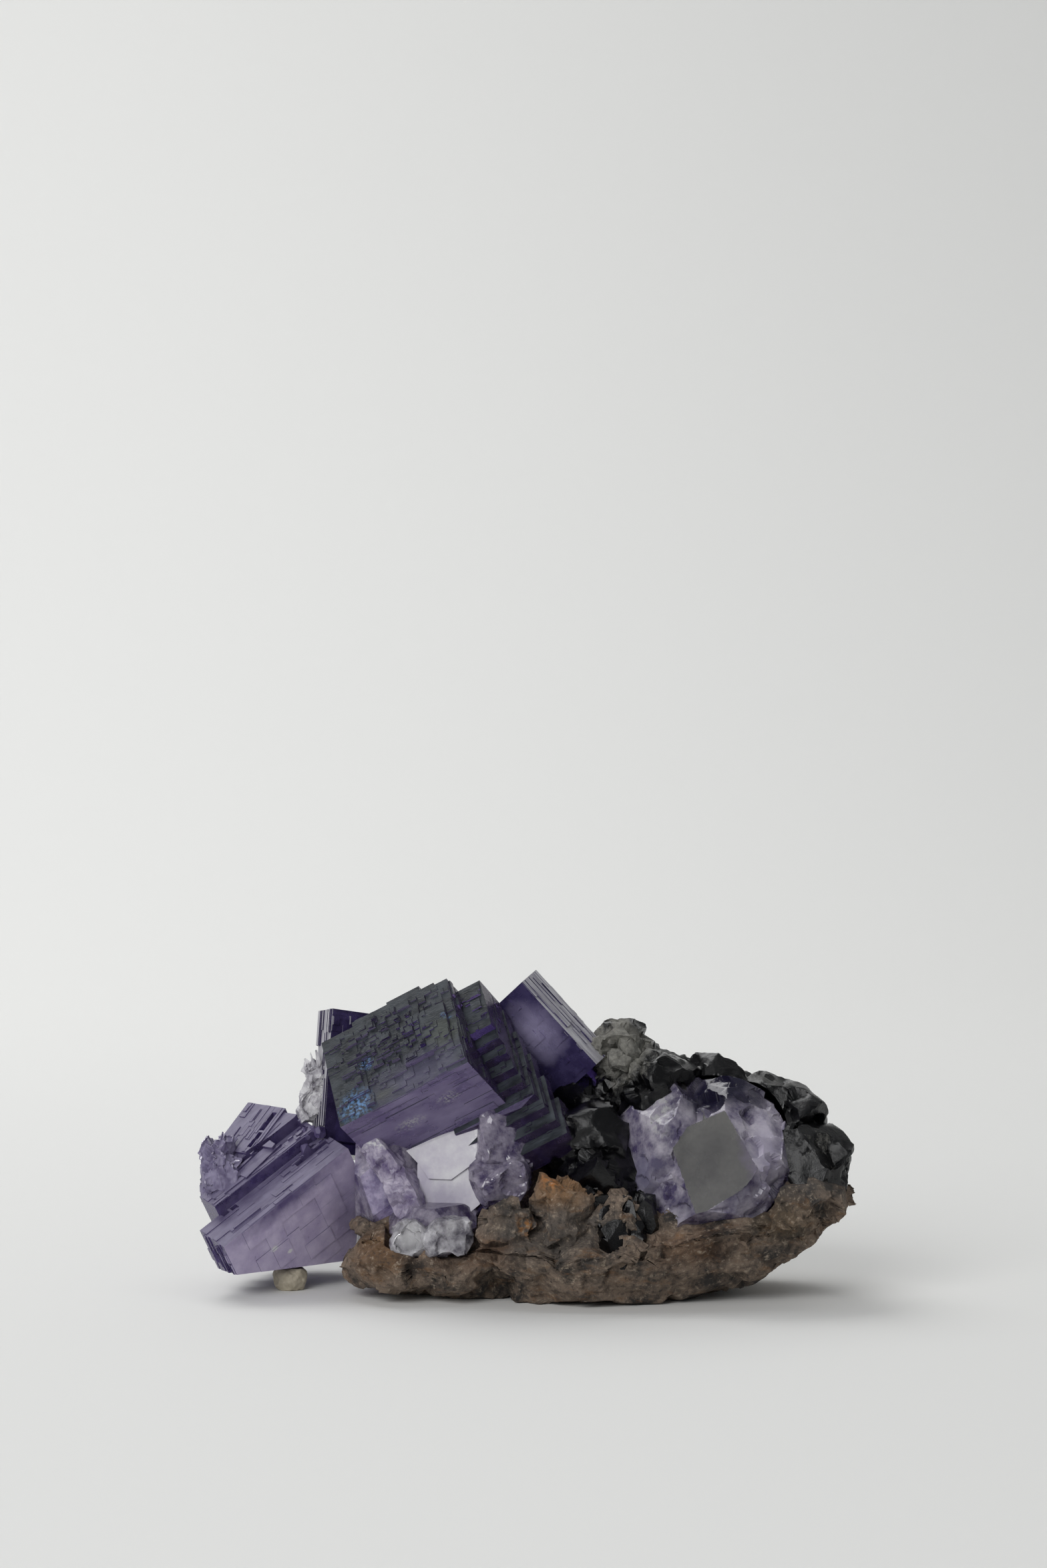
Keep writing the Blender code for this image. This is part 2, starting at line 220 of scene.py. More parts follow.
def break_off(bm: bmesh.types.BMesh, point: Vector, direction: Vector) -> None:
    """Cut away what is past a plane, and close the cut.

    Args:
        bm: the convex mesh to cut.
        point: a point of the plane.
        direction: the plane's outward direction.
    """
    everything = bm.verts[:] + bm.edges[:] + bm.faces[:]
    cut = bmesh.ops.bisect_plane(
        bm, geom=everything, plane_co=point, plane_no=direction, clear_outer=True)
    rim = [item for item in cut["geom_cut"] if isinstance(item, bmesh.types.BMEdge)]
    if rim:
        bmesh.ops.contextual_create(bm, geom=rim)
    bmesh.ops.recalc_face_normals(bm, faces=bm.faces)


@dataclass(frozen=True)
class Block:
    """A cube-sided growth between two corners along a crystal's own axes, with broken-off sides.

    Each break is a point and an outward direction in the specimen's frame.
    """

    stand: Stand
    low: Triple
    high: Triple
    breaks: tuple[Break, ...] = ()

    def mesh(self, grow: float = 0.0) -> bmesh.types.BMesh:
        """The block, each side moved out by grow.

        Args:
            grow: how many millimetres its surface is moved out.

        Returns:
            The mesh in millimetres, in the specimen's frame.
        """
        low = Vector(self.low) - Vector((grow, grow, grow))
        high = Vector(self.high) + Vector((grow, grow, grow))
        bm = bmesh.new()
        bmesh.ops.create_cube(bm, size=1.0)
        place = self.stand.matrix() @ Matrix.Translation((low + high) / 2)
        bmesh.ops.transform(bm, matrix=place @ Matrix.Diagonal((*(high - low), 1.0)), verts=bm.verts)
        for point, outward in self.breaks:
            direction = Vector(outward).normalized()
            break_off(bm, Vector(point) + direction * grow, direction)
        return bm


@dataclass(frozen=True)
class Shard:
    """A flat-faced body: a box about a centre, broken by seeded planes."""

    centre: Triple
    half: Triple
    turn: Triple = (0.0, 0.0, 0.0)
    edges: int = 5
    seed: int = 0
    share: Pair = (0.56, 0.70)      # how far out each plane lies, as a share of the box's reach
    jitter: float = 0.3             # how far each plane strays from facing its corner

    def planes(self) -> list[tuple[Vector, float]]:
        """Outward directions and distances from the centre of all its breaks.

        Returns:
            Pairs of an outward direction and a distance.
        """
        turn = turn_matrix(self.turn).to_3x3()
        found = []
        draw = random.Random(self.seed)
        corners = [Vector(signs) for signs in itertools.product((-1.0, 1.0), repeat=3)]
        edges = [Vector([draw.gauss(0.0, 1.0) for _ in range(3)]) for _ in range(self.edges)]
        for way in corners + edges:
            stray = Vector([draw.uniform(-self.jitter, self.jitter) for _ in range(3)])
            own = (way.normalized() + stray).normalized()
            reach = sum(abs(own[i]) * self.half[i] for i in range(3))
            found.append((turn @ own, reach * draw.uniform(*self.share)))
        return found

    def mesh(self, grow: float = 0.0) -> bmesh.types.BMesh:
        """The shard, each face moved out by grow.

        Args:
            grow: how many millimetres its surface is moved out.

        Returns:
            The mesh in millimetres, in the specimen's frame.
        """
        centre = Vector(self.centre)
        size = (Vector(self.half) + Vector((grow, grow, grow))) * 2.0
        bm = bmesh.new()
        bmesh.ops.create_cube(bm, size=1.0)
        place = Matrix.Translation(centre) @ turn_matrix(self.turn) @ Matrix.Diagonal((*size, 1.0))
        bmesh.ops.transform(bm, matrix=place, verts=bm.verts)
        for way, distance in self.planes():
            break_off(bm, centre + way * (distance + grow), way)
        return bm


@dataclass(frozen=True)
class Chips:
    """Chips broken out of a surface: shell-shaped hollows, or flats."""

    count: int
    radius: Pair
    depth: Pair
    seed: int
    tilt: float = 0.2       # how far each leans from the surface
    flat: bool = False

    def carve(self, points: np.ndarray, normals: np.ndarray, kept: np.ndarray) -> None:
        """Push points inward onto each chip.

        Args:
            points: places about the body's centre, changed in place.
            normals: the surface's outward direction at each point.
            kept: which points stay as they are.
        """
        draw = np.random.default_rng(self.seed)
        open_to_chips = np.flatnonzero(~kept)
        for _ in range(self.count):
            site = draw.choice(open_to_chips)
            outward = normals[site] + draw.normal(0.0, self.tilt, 3)
            outward /= np.linalg.norm(outward)
            radius = draw.uniform(*self.radius)
            depth = draw.uniform(*self.depth)
            if self.flat:
                offset = points - points[site]
                over = offset @ outward + depth
                inside = (np.linalg.norm(offset, axis=1) < radius) & (over > 0.0) & ~kept
                points[inside] -= outward * over[inside][:, None]
            else:
                middle = points[site] + outward * (radius - depth)
                offset = points - middle
                distance = np.linalg.norm(offset, axis=1)
                inside = (distance < radius) & ~kept
                points[inside] = middle + offset[inside] * (radius / distance[inside])[:, None]


@dataclass(frozen=True)
class Lump:
    """A rough body of many small faces, flattened where it broke or grew flat.

    Each flat is an outward direction and its distance from the centre, and so is each fracture,
    which chips and relief then roughen. Relief is pairs of height and grain, and only takes away, so
    that the body stays inside its rounded form.
    """

    centre: Triple
    half: Triple
    turn: Triple = (0.0, 0.0, 0.0)
    flats: tuple[Flat, ...] = ()
    fractures: tuple[Flat, ...] = ()
    seed: int = 0
    squareness: float = 2.4         # 2 is an ellipsoid, and more is boxier
    roughness: float = 0.3          # millimetres that its rounded form swells and sinks
    grain: float = 5.0              # millimetres across each swelling
    detail: int = 6                 # how often the sphere that it starts from is divided
    facets: int = 0
    facet_share: Pair = (0.88, 0.99)    # how far out each facet lies, as a share of the reach
    chips: tuple[Chips, ...] = ()
    relief: tuple[Pair, ...] = ()
    smooth_flats: bool = False

    def mesh(self, grow: float = 0.0) -> bmesh.types.BMesh:
        """The lump, its surface moved out by grow.

        Args:
            grow: how many millimetres its surface is moved out.

        Returns:
            The mesh in millimetres, in the specimen's frame.
        """
        bm = bmesh.new()
        bmesh.ops.create_icosphere(bm, subdivisions=self.detail, radius=1.0)
        turn = np.array(turn_matrix(self.turn).to_3x3())
        ways = np.array([vert.co.normalized() for vert in bm.verts])
        power = (np.abs(ways) ** self.squareness).sum(1) ** (-1.0 / self.squareness)
        points = (ways * power[:, None] * np.array(self.half)) @ turn.T
        points += self.outward(points) * (self.wander(points, self.grain, self.seed)
                                          * self.roughness * 2.0 + grow)[:, None]
        self.flatten(points, self.fractures, grow)
        on_flat = self.flatten(points, self.flats, grow)
        kept = on_flat if self.smooth_flats else np.zeros(len(points), bool)
        self.break_facets(points, kept)
        for chips in self.chips:
            chips.carve(points, self.place(bm, points), kept)
        for octave, (height, grain) in enumerate(self.relief):
            rough = self.wander(points, grain, self.seed + RELIEF_SEED + octave)
            depth = (rough + RELIEF_SHARE) * height
            depth[kept] = 0.0
            points -= self.place(bm, points) * np.maximum(depth, 0.0)[:, None]
        self.flatten(points, self.flats, grow)
        self.place(bm, points)
        return bm

    def place(self, bm: bmesh.types.BMesh, points: np.ndarray) -> np.ndarray:
        """Move a mesh's corners to places about the centre.

        Args:
            bm: the mesh.
            points: a place for each corner.

        Returns:
            The surface's outward direction at each corner.
        """
        centre = Vector(self.centre)
        for vert, point in zip(bm.verts, points):
            vert.co = Vector(point) + centre
        bm.normal_update()
        return np.array([vert.normal for vert in bm.verts])

    @staticmethod
    def outward(points: np.ndarray) -> np.ndarray:
        """Unit directions from the centre to each point."""
        return points / np.linalg.norm(points, axis=1)[:, None]

    def wander(self, points: np.ndarray, grain: float, seed: int) -> np.ndarray:
        """Smooth noise at each point, of one grain size in millimetres."""
        places = (points + np.array(self.centre)) / grain + np.array((seed, 0.0, 0.0))
        return np.array([noise.noise(Vector(place)) for place in places])

    @staticmethod
    def flatten(points: np.ndarray, flats: tuple[Flat, ...], grow: float) -> np.ndarray:
        """Press points back onto flats, and say which are on one.

        Args:
            points: places about the body's centre, changed in place.
            flats: outward directions and distances from the centre.
            grow: how far each flat is moved out.

        Returns:
            A mask of the points that lie on a flat.
        """
        pressed = np.zeros(len(points), bool)
        for way, distance in flats:
            direction = np.array(way) / np.linalg.norm(way)
            over = points @ direction - distance - grow
            points -= np.maximum(over, 0.0)[:, None] * direction
            pressed |= over > -ON_FLAT
        return pressed

    def break_facets(self, points: np.ndarray, kept: np.ndarray) -> None:
        """Flatten seeded facets all over the body, but for the points that are kept.

        Args:
            points: places about the body's centre, changed in place.
            kept: which points stay as they are.
        """
        draw = np.random.default_rng(self.seed)
        for _ in range(self.facets):
            direction = draw.normal(0.0, 1.0, 3)
            direction /= np.linalg.norm(direction)
            along = points @ direction
            over = along - along.max() * draw.uniform(*self.facet_share)
            over[kept] = 0.0
            points -= np.maximum(over, 0.0)[:, None] * direction


@dataclass(frozen=True)
class Slab:
    """A prism with a drawn outline, for one broken face and what lies behind it.

    The outline runs round the face, along the stand's own X and Z, and the prism goes back along Y
    and narrows to a share of its front.
    """

    stand: Stand
    outline: tuple[Pair, ...]
    depth: float
    narrowing: float = 0.7

    def mesh(self, grow: float = 0.0) -> bmesh.types.BMesh:
        """The slab, its outline scaled and its ends moved so that it is about grow larger.

        Args:
            grow: how many millimetres its surface is moved out.

        Returns:
            The mesh in millimetres, in the specimen's frame.
        """
        bm = bmesh.new()
        middle = [sum(point[i] for point in self.outline) / len(self.outline) for i in range(2)]
        reach = max(math.dist(point, middle) for point in self.outline)
        wider = 1.0 + grow / reach
        rings = []
        for depth, share in ((-grow, wider), (self.depth + grow, wider * self.narrowing)):
            rings.append([bm.verts.new((middle[0] + (x - middle[0]) * share, depth,
                                        middle[1] + (z - middle[1]) * share))
                          for x, z in self.outline])
        bm.faces.new(rings[0])
        bm.faces.new(rings[1][::-1])
        for i in range(len(self.outline)):
            j = (i + 1) % len(self.outline)
            bm.faces.new((rings[0][i], rings[1][i], rings[1][j], rings[0][j]))
        bmesh.ops.recalc_face_normals(bm, faces=bm.faces)
        bmesh.ops.transform(bm, matrix=self.stand.matrix(), verts=bm.verts)
        return bm


@dataclass(frozen=True)
class Mosaic:
    """Small rectangular growth plates, scattered over a stretch of one side of a crystal.

    The stretch, and the plates' sizes, run along the two axes that lie in the side.
    """

    side: Side
    low: Pair
    high: Pair
    count: int
    first_size: Pair
    second_size: Pair
    rise: Pair
    seed: int
    root: float = 0.6       # millimetres that each plate goes into what it grows on


@dataclass
class Growth:
    """Blocks in one stand that grow on each other."""

    stand: Stand
    breaks: tuple[Break, ...] = ()
    inset: float = 0.06     # from a plate's edge to the edge of what it grows on
    blocks: list[Block] = field(default_factory=list)

    def add(self, low: Triple, high: Triple) -> None:
        """Add a block between two corners."""
        self.blocks.append(Block(self.stand, low, high, self.breaks))

    @staticmethod
    def reach(block: Block, side: Side) -> float:
        """How far out a block reaches on one side."""
        return (block.high if side.sign > 0 else block.low)[side.axis] * side.sign

    def under(self, side: Side, place: Pair) -> Block | None:
        """The block that reaches furthest out under a place on one side, if there is one.

        Args:
            side: the side that is looked at.
            place: where, along the two axes that lie in the side.

        Returns:
            The block, or None.
        """
        first, second = side.across
        found = [
            block for block in self.blocks
            if block.low[first] <= place[0] <= block.high[first]
            and block.low[second] <= place[1] <= block.high[second]
        ]
        return max(found, key=lambda block: self.reach(block, side), default=None)

    def scatter(self, mosaic: Mosaic) -> None:
        """Grow a mosaic's plates, each on what is already there.

        Args:
            mosaic: the plates and where they grow.
        """
        draw = random.Random(mosaic.seed)
        first, second = mosaic.side.across
        for _ in range(mosaic.count):
            sizes = (draw.uniform(*mosaic.first_size), draw.uniform(*mosaic.second_size))
            middle = [draw.uniform(mosaic.low[i], mosaic.high[i]) for i in range(2)]
            rise = draw.uniform(*mosaic.rise)
            base = self.under(mosaic.side, tuple(middle))
            if base is None:
                continue
            low, high = [0.0] * 3, [0.0] * 3
            for axis, size, at in zip((first, second), sizes, middle):
                low[axis] = max(base.low[axis] + self.inset, at - size / 2)
                high[axis] = min(base.high[axis] - self.inset, at + size / 2)
            level = self.reach(base, mosaic.side)
            placed = sorted(end * mosaic.side.sign for end in (level - mosaic.root, level + rise))
            low[mosaic.side.axis], high[mosaic.side.axis] = placed
            self.add(tuple(low), tuple(high))


def new_object(name: str, bm: bmesh.types.BMesh) -> bpy.types.Object:
    """An object in the scene from a mesh in millimetres.

    Args:
        name: the piece's name.
        bm: the mesh, which is freed.

    Returns:
        The object, with its origin on the specimen's.
    """
    bmesh.ops.scale(bm, vec=(MM, MM, MM), verts=bm.verts)
    mesh = bpy.data.meshes.new(name)
    bm.to_mesh(mesh)
    bm.free()
    made = bpy.data.objects.new(name, mesh)
    bpy.context.scene.collection.objects.link(made)
    return made


def drop_chips(mesh: bpy.types.Mesh) -> None:
    """Keep a mesh's largest body, and leave out the loose chips that cuts set free.

    Args:
        mesh: the mesh, changed in place.
    """
    bm = bmesh.new()
    bm.from_mesh(mesh)
    waiting = set(bm.verts)
    bodies = []
    while waiting:
        body = {waiting.pop()}
        edge_of_search = list(body)
        while edge_of_search:
            vert = edge_of_search.pop()
            fresh = {edge.other_vert(vert) for edge in vert.link_edges} - body
            body |= fresh
            edge_of_search.extend(fresh)
        waiting -= body
        bodies.append(body)
    bodies.sort(key=len)
    for chip in bodies[:-1]:
        bmesh.ops.delete(bm, geom=list(chip), context="VERTS")
    bmesh.ops.triangulate(bm, faces=bm.faces)
    bm.to_mesh(mesh)
    bm.free()


def combine(piece: bpy.types.Object, helpers: list[bpy.types.Object], operation: str) -> None:
    """Join or cut a piece with others, which are used up.

    Args:
        piece: the piece to change.
        helpers: what it is joined to or cut by.
        operation: UNION or DIFFERENCE.
    """
    for helper in helpers:
        step = piece.modifiers.new(operation.lower(), "BOOLEAN")
        step.operation = operation
        step.object = helper
        step.solver = "MANIFOLD"
    evaluated = piece.evaluated_get(bpy.context.evaluated_depsgraph_get())
    whole = bpy.data.meshes.new_from_object(evaluated)
    piece.modifiers.clear()
    piece.data = whole
    for helper in helpers:
        bpy.data.meshes.remove(helper.data)


def union(name: str, bodies: list[Body], most: int = 12) -> bpy.types.Object:
    """Join bodies into one object, in groups, because small meshes join faster.

    Args:
        name: the object's name.
        bodies: what is joined.
        most: the most that are joined in one go.

    Returns:
        The joined object.
    """
    if len(bodies) <= most:
        parts = [new_object(name, body.mesh()) for body in bodies]
    else:
        size = math.ceil(len(bodies) / most)
        parts = [union(name, bodies[i:i + size], most) for i in range(0, len(bodies), size)]
    if len(parts) > 1:
        combine(parts[0], parts[1:], "UNION")
    return parts[0]


def grow_together(name: str, bodies: list[Body], cuts: list[Body] = (),
                  crease: float = 30.0) -> bpy.types.Object:
    """One closed piece from bodies that overlap, cut back from those that it grew against.

    Args:
        name: the piece's name.
        bodies: what it is made of.
        cuts: what is taken away from it.
        crease: faces that meet at less than this many degrees are shaded as one surface.

    Returns:
        The piece, in place.
    """
    piece = union(name, bodies)
    if cuts:
        combine(piece, [union(f"{name}_cut", cuts)], "DIFFERENCE")
    drop_chips(piece.data)
    piece.data.shade_smooth()
    piece.data.set_sharp_from_angle(angle=math.radians(crease))
    return piece


def dress(piece: bpy.types.Object, rest: bpy.types.Material,
          ways: list[tuple[Vector, bpy.types.Material]] = (), stand: Stand = Stand(),
          space: Corners = EVERYWHERE) -> None:
    """Give a piece its finishes, one for each way that its faces look.

    Args:
        piece: the piece.
        rest: the finish of faces that look no named way.
        ways: outward directions, and the finish of the faces that look along each.
        stand: the crystal along whose axes the space is measured.
        space: where the last of the ways counts.
    """
    own = stand.matrix().inverted()
    piece.data.materials.clear()
    piece.data.materials.append(rest)
    for slot, (way, finish) in enumerate(ways, start=1):
        piece.data.materials.append(finish)
        low, high = space if slot == len(ways) else EVERYWHERE
        for polygon in piece.data.polygons:
            if polygon.normal.dot(way) <= SAME_WAY:
                continue
            place = own @ (polygon.center / MM)
            if all(low[i] <= place[i] <= high[i] for i in range(3)):
                polygon.material_index = slot


def settle(piece: bpy.types.Object, node: str) -> None:
    """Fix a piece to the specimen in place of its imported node, and report it.

    Args:
        piece: the piece.
        node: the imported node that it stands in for.
    """
    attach(piece, BODY)
    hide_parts(node)
    log.info("%s: %d triangles, %d finishes", piece.name, len(piece.data.polygons),
             len(piece.data.materials))


@dataclass(frozen=True)
class Patch:
    """A soft-edged stain or zone: its middle and reach along the piece's own axes, and its colour."""

    middle: Triple
    reach: Triple
    colour: str
    strength: float = 1.0
    edge: float = 0.5       # share of the reach over which it fades
    speckle: float = 0.0    # millimetres between its flecks, or 0 where it is even
    wobble: float = 0.35    # how far noise pulls its outline, as a share of its reach


def paint(tree: bpy.types.NodeTree, place: bpy.types.NodeSocket, colour: bpy.types.NodeSocket,
          patches: tuple[Patch, ...]) -> bpy.types.NodeSocket:
    """Lay patches over a colour.

    Args:
        tree: the material's nodes.
        place: position along the piece's own axes.
        colour: the colour beneath.
        patches: what is laid on it, in order.

    Returns:
        The painted colour.
    """
    for patch in patches:
        shift = add_node(tree, "ShaderNodeVectorMath", {
            "operation": "SUBTRACT", 1: [part * MM for part in patch.middle]}, {0: place})
        shrink = add_node(tree, "ShaderNodeVectorMath", {
            "operation": "MULTIPLY", 1: [per_mm(part) for part in patch.reach]}, {0: shift.outputs[0]})
        length = add_node(tree, "ShaderNodeVectorMath", {"operation": "LENGTH"},
                          {0: shrink.outputs[0]})
        drift = add_node(tree, "ShaderNodeTexNoise", {
            "Scale": per_mm(min(patch.reach) * 0.6), "Detail": 4.0}, {"Vector": place})
        pulled = add_node(tree, "ShaderNodeMath", {
            "operation": "MULTIPLY_ADD", 1: patch.wobble * 2.0}, {
            0: drift.outputs[0], 2: length.outputs["Value"]})
        share = add_node(tree, "ShaderNodeMapRange", {
            "From Min": 1.0 + patch.wobble, "From Max": 1.0 + patch.wobble - patch.edge,
            "To Max": patch.strength}, {"Value": pulled.outputs[0]}).outputs[0]
        if patch.speckle:
            flecks = add_node(tree, "ShaderNodeTexNoise", {
                "Scale": per_mm(patch.speckle), "Detail": 2.0}, {"Vector": place})
            chosen = add_node(tree, "ShaderNodeMapRange", {
                "From Min": 0.44, "From Max": 0.60}, {"Value": flecks.outputs[0]})
            share = add_node(tree, "ShaderNodeMath", {"operation": "MULTIPLY"}, {
                0: share, 1: chosen.outputs[0]}).outputs[0]
        colour = add_node(tree, "ShaderNodeMix", {
            "data_type": "RGBA", MIX_B: linear(patch.colour)}, {
            0: share, MIX_A: colour}).outputs[MIX_OUT]
    return colour


def blank_material(name: str) -> tuple[bpy.types.Material, bpy.types.NodeTree, bpy.types.Node]:
    """A material with only its output node.

    Args:
        name: the finish's name.

    Returns:
        The material, its nodes and its output.
    """
    material = bpy.data.materials.new(name)
    material.use_nodes = True
    tree = material.node_tree
    tree.nodes.clear()
    return material, tree, add_node(tree, "ShaderNodeOutputMaterial")


@dataclass(frozen=True)
class Fluorite:
    """Fluorite as one kind of face shows it, grown, etched or cleaved.

    The clear share of its surface lets light in, which comes out with the crystal's own colour. The
    rest is frost: fine pits and films that scatter light white or grey, as ground glass does.
    """

    name: str
    frost: str
    hollow: str
    clear: float
    gloss: Pair
    mottle: float = 2.4             # millimetres across the cloudy patches of the frost
    grain: float = 0.35             # millimetres across the etch pits
    relief: float = 0.03            # millimetres deep
    stretch: Triple = (1.0, 1.0, 1.0)
    tint: str = "#6a4fb0"           # what white light turns to on its way through
    density: float = 160.0          # share of the other colours lost per metre
    patches: tuple[Patch, ...] = ()

    def make(self, stand: Stand = Stand()) -> bpy.types.Material:
        """The finish as a material.

        Args:
            stand: the crystal whose axes the pattern follows.

        Returns:
            The material.
        """
        material, tree, output = blank_material(self.name)
        whole = add_node(tree, "ShaderNodeTexCoord").outputs["Object"]
        place = add_node(tree, "ShaderNodeMapping", {
            "vector_type": "TEXTURE", "Location": [part * MM for part in stand.corner],
            "Rotation": [math.radians(angle) for angle in stand.turn]}, {
            "Vector": whole}).outputs[0]
        aligned = add_node(tree, "ShaderNodeMapping", {"Scale": self.stretch}, {"Vector": place})
        cloud = add_node(tree, "ShaderNodeTexNoise", {
            "Scale": per_mm(self.mottle), "Detail": 6.0, "Roughness": 0.62}, {
            "Vector": aligned.outputs[0]})
        share = add_node(tree, "ShaderNodeMapRange", {"From Min": 0.36, "From Max": 0.64}, {
            "Value": cloud.outputs[0]})
        colour = add_node(tree, "ShaderNodeMix", {
            "data_type": "RGBA", MIX_A: linear(self.hollow), MIX_B: linear(self.frost)}, {
            0: share.outputs[0]}).outputs[MIX_OUT]
        colour = paint(tree, place, colour, self.patches)
        pits = add_node(tree, "ShaderNodeTexNoise", {
            "Scale": per_mm(self.grain), "Detail": 4.0, "Roughness": 0.6}, {
            "Vector": aligned.outputs[0]})
        bump = add_node(tree, "ShaderNodeBump", {"Distance": self.relief * MM}, {
            "Height": pits.outputs[0]})
        gloss = add_node(tree, "ShaderNodeMapRange", {
            "From Min": 0.3, "From Max": 0.7, "To Min": self.gloss[0], "To Max": self.gloss[1]}, {
            "Value": cloud.outputs[0]})
        shader = add_node(tree, "ShaderNodeBsdfPrincipled", {
            "IOR": FLUORITE_IOR, "Transmission Weight": self.clear}, {
            "Base Color": colour, "Roughness": gloss.outputs[0], "Normal": bump.outputs[0]})
        inside = add_node(tree, "ShaderNodeVolumeAbsorption", {
            "Color": linear(self.tint), "Density": self.density})
        tree.links.new(shader.outputs[0], output.inputs["Surface"])
        tree.links.new(inside.outputs[0], output.inputs["Volume"])
        return material


@dataclass(frozen=True)
class FracturedSphalerite:
    """Black sphalerite, cleaved and partly weathered.

    Fresh cleavages have a resinous gloss near a mirror's, which gives black with hard sparkles. A
    dull grey film covers the upper crystals, most of all those at the left.
    """

    name: str = "fractured_black_sphalerite"
    fresh: str = "#08080a"
    film: str = "#a5a39b"
    relief: float = 0.10
    shine: float = 0.09     # specular level: pits and films leave little of a flat face's shine
    film_zones: tuple[Patch, ...] = (
        Patch((14.0, 12.0, 36.5), (7.5, 12.0, 7.5), "#ffffff", 1.0, 0.7),
        Patch((18.0, 9.0, 34.0), (4.0, 12.0, 4.0), "#ffffff", 0.35, 0.7),
        Patch((43.0, 2.0, 22.0), (5.0, 9.0, 4.5), "#ffffff", 0.55, 0.7),
    )

    def make(self) -> bpy.types.Material:
        """The finish as a material.

        Returns:
            The material.
        """
        material, tree, output = blank_material(self.name)
        place = add_node(tree, "ShaderNodeTexCoord").outputs["Object"]
        bare = add_node(tree, "ShaderNodeRGB")
        bare.outputs[0].default_value = linear("#000000")
        zones = paint(tree, place, bare.outputs[0], self.film_zones)
        cloud = add_node(tree, "ShaderNodeTexNoise", {
            "Scale": per_mm(3.0), "Detail": 8.0, "Roughness": 0.7}, {"Vector": place})
        raised = add_node(tree, "ShaderNodeMath", {"operation": "MULTIPLY_ADD", 1: 0.45}, {
            0: zones, 2: cloud.outputs[0]})
        covered = add_node(tree, "ShaderNodeMapRange", {
            "From Min": 0.66, "From Max": 0.86}, {"Value": raised.outputs[0]}).outputs[0]
        speck = add_node(tree, "ShaderNodeTexNoise", {
            "Scale": per_mm(0.7), "Detail": 5.0, "Roughness": 0.7}, {"Vector": place})
        dusty = add_node(tree, "ShaderNodeMix", {
            "data_type": "RGBA", MIX_A: linear(self.fresh), MIX_B: linear(self.film)}, {
            0: speck.outputs[0]})
        colour = add_node(tree, "ShaderNodeMix", {
            "data_type": "RGBA", MIX_A: linear(self.fresh)}, {
            0: covered, MIX_B: dusty.outputs[MIX_OUT]})
        bump = add_node(tree, "ShaderNodeBump", {"Distance": self.relief * MM}, {
            "Height": speck.outputs[0]})
        gloss = add_node(tree, "ShaderNodeMapRange", {"To Min": 0.12, "To Max": 0.75}, {
            "Value": covered})
        shader = add_node(tree, "ShaderNodeBsdfPrincipled", {
            "IOR": SPHALERITE_IOR, "Specular IOR Level": self.shine}, {
            "Base Color": colour.outputs[MIX_OUT], "Roughness": gloss.outputs[0],
            "Normal": bump.outputs[0]})
        tree.links.new(shader.outputs[0], output.inputs["Surface"])
        return material


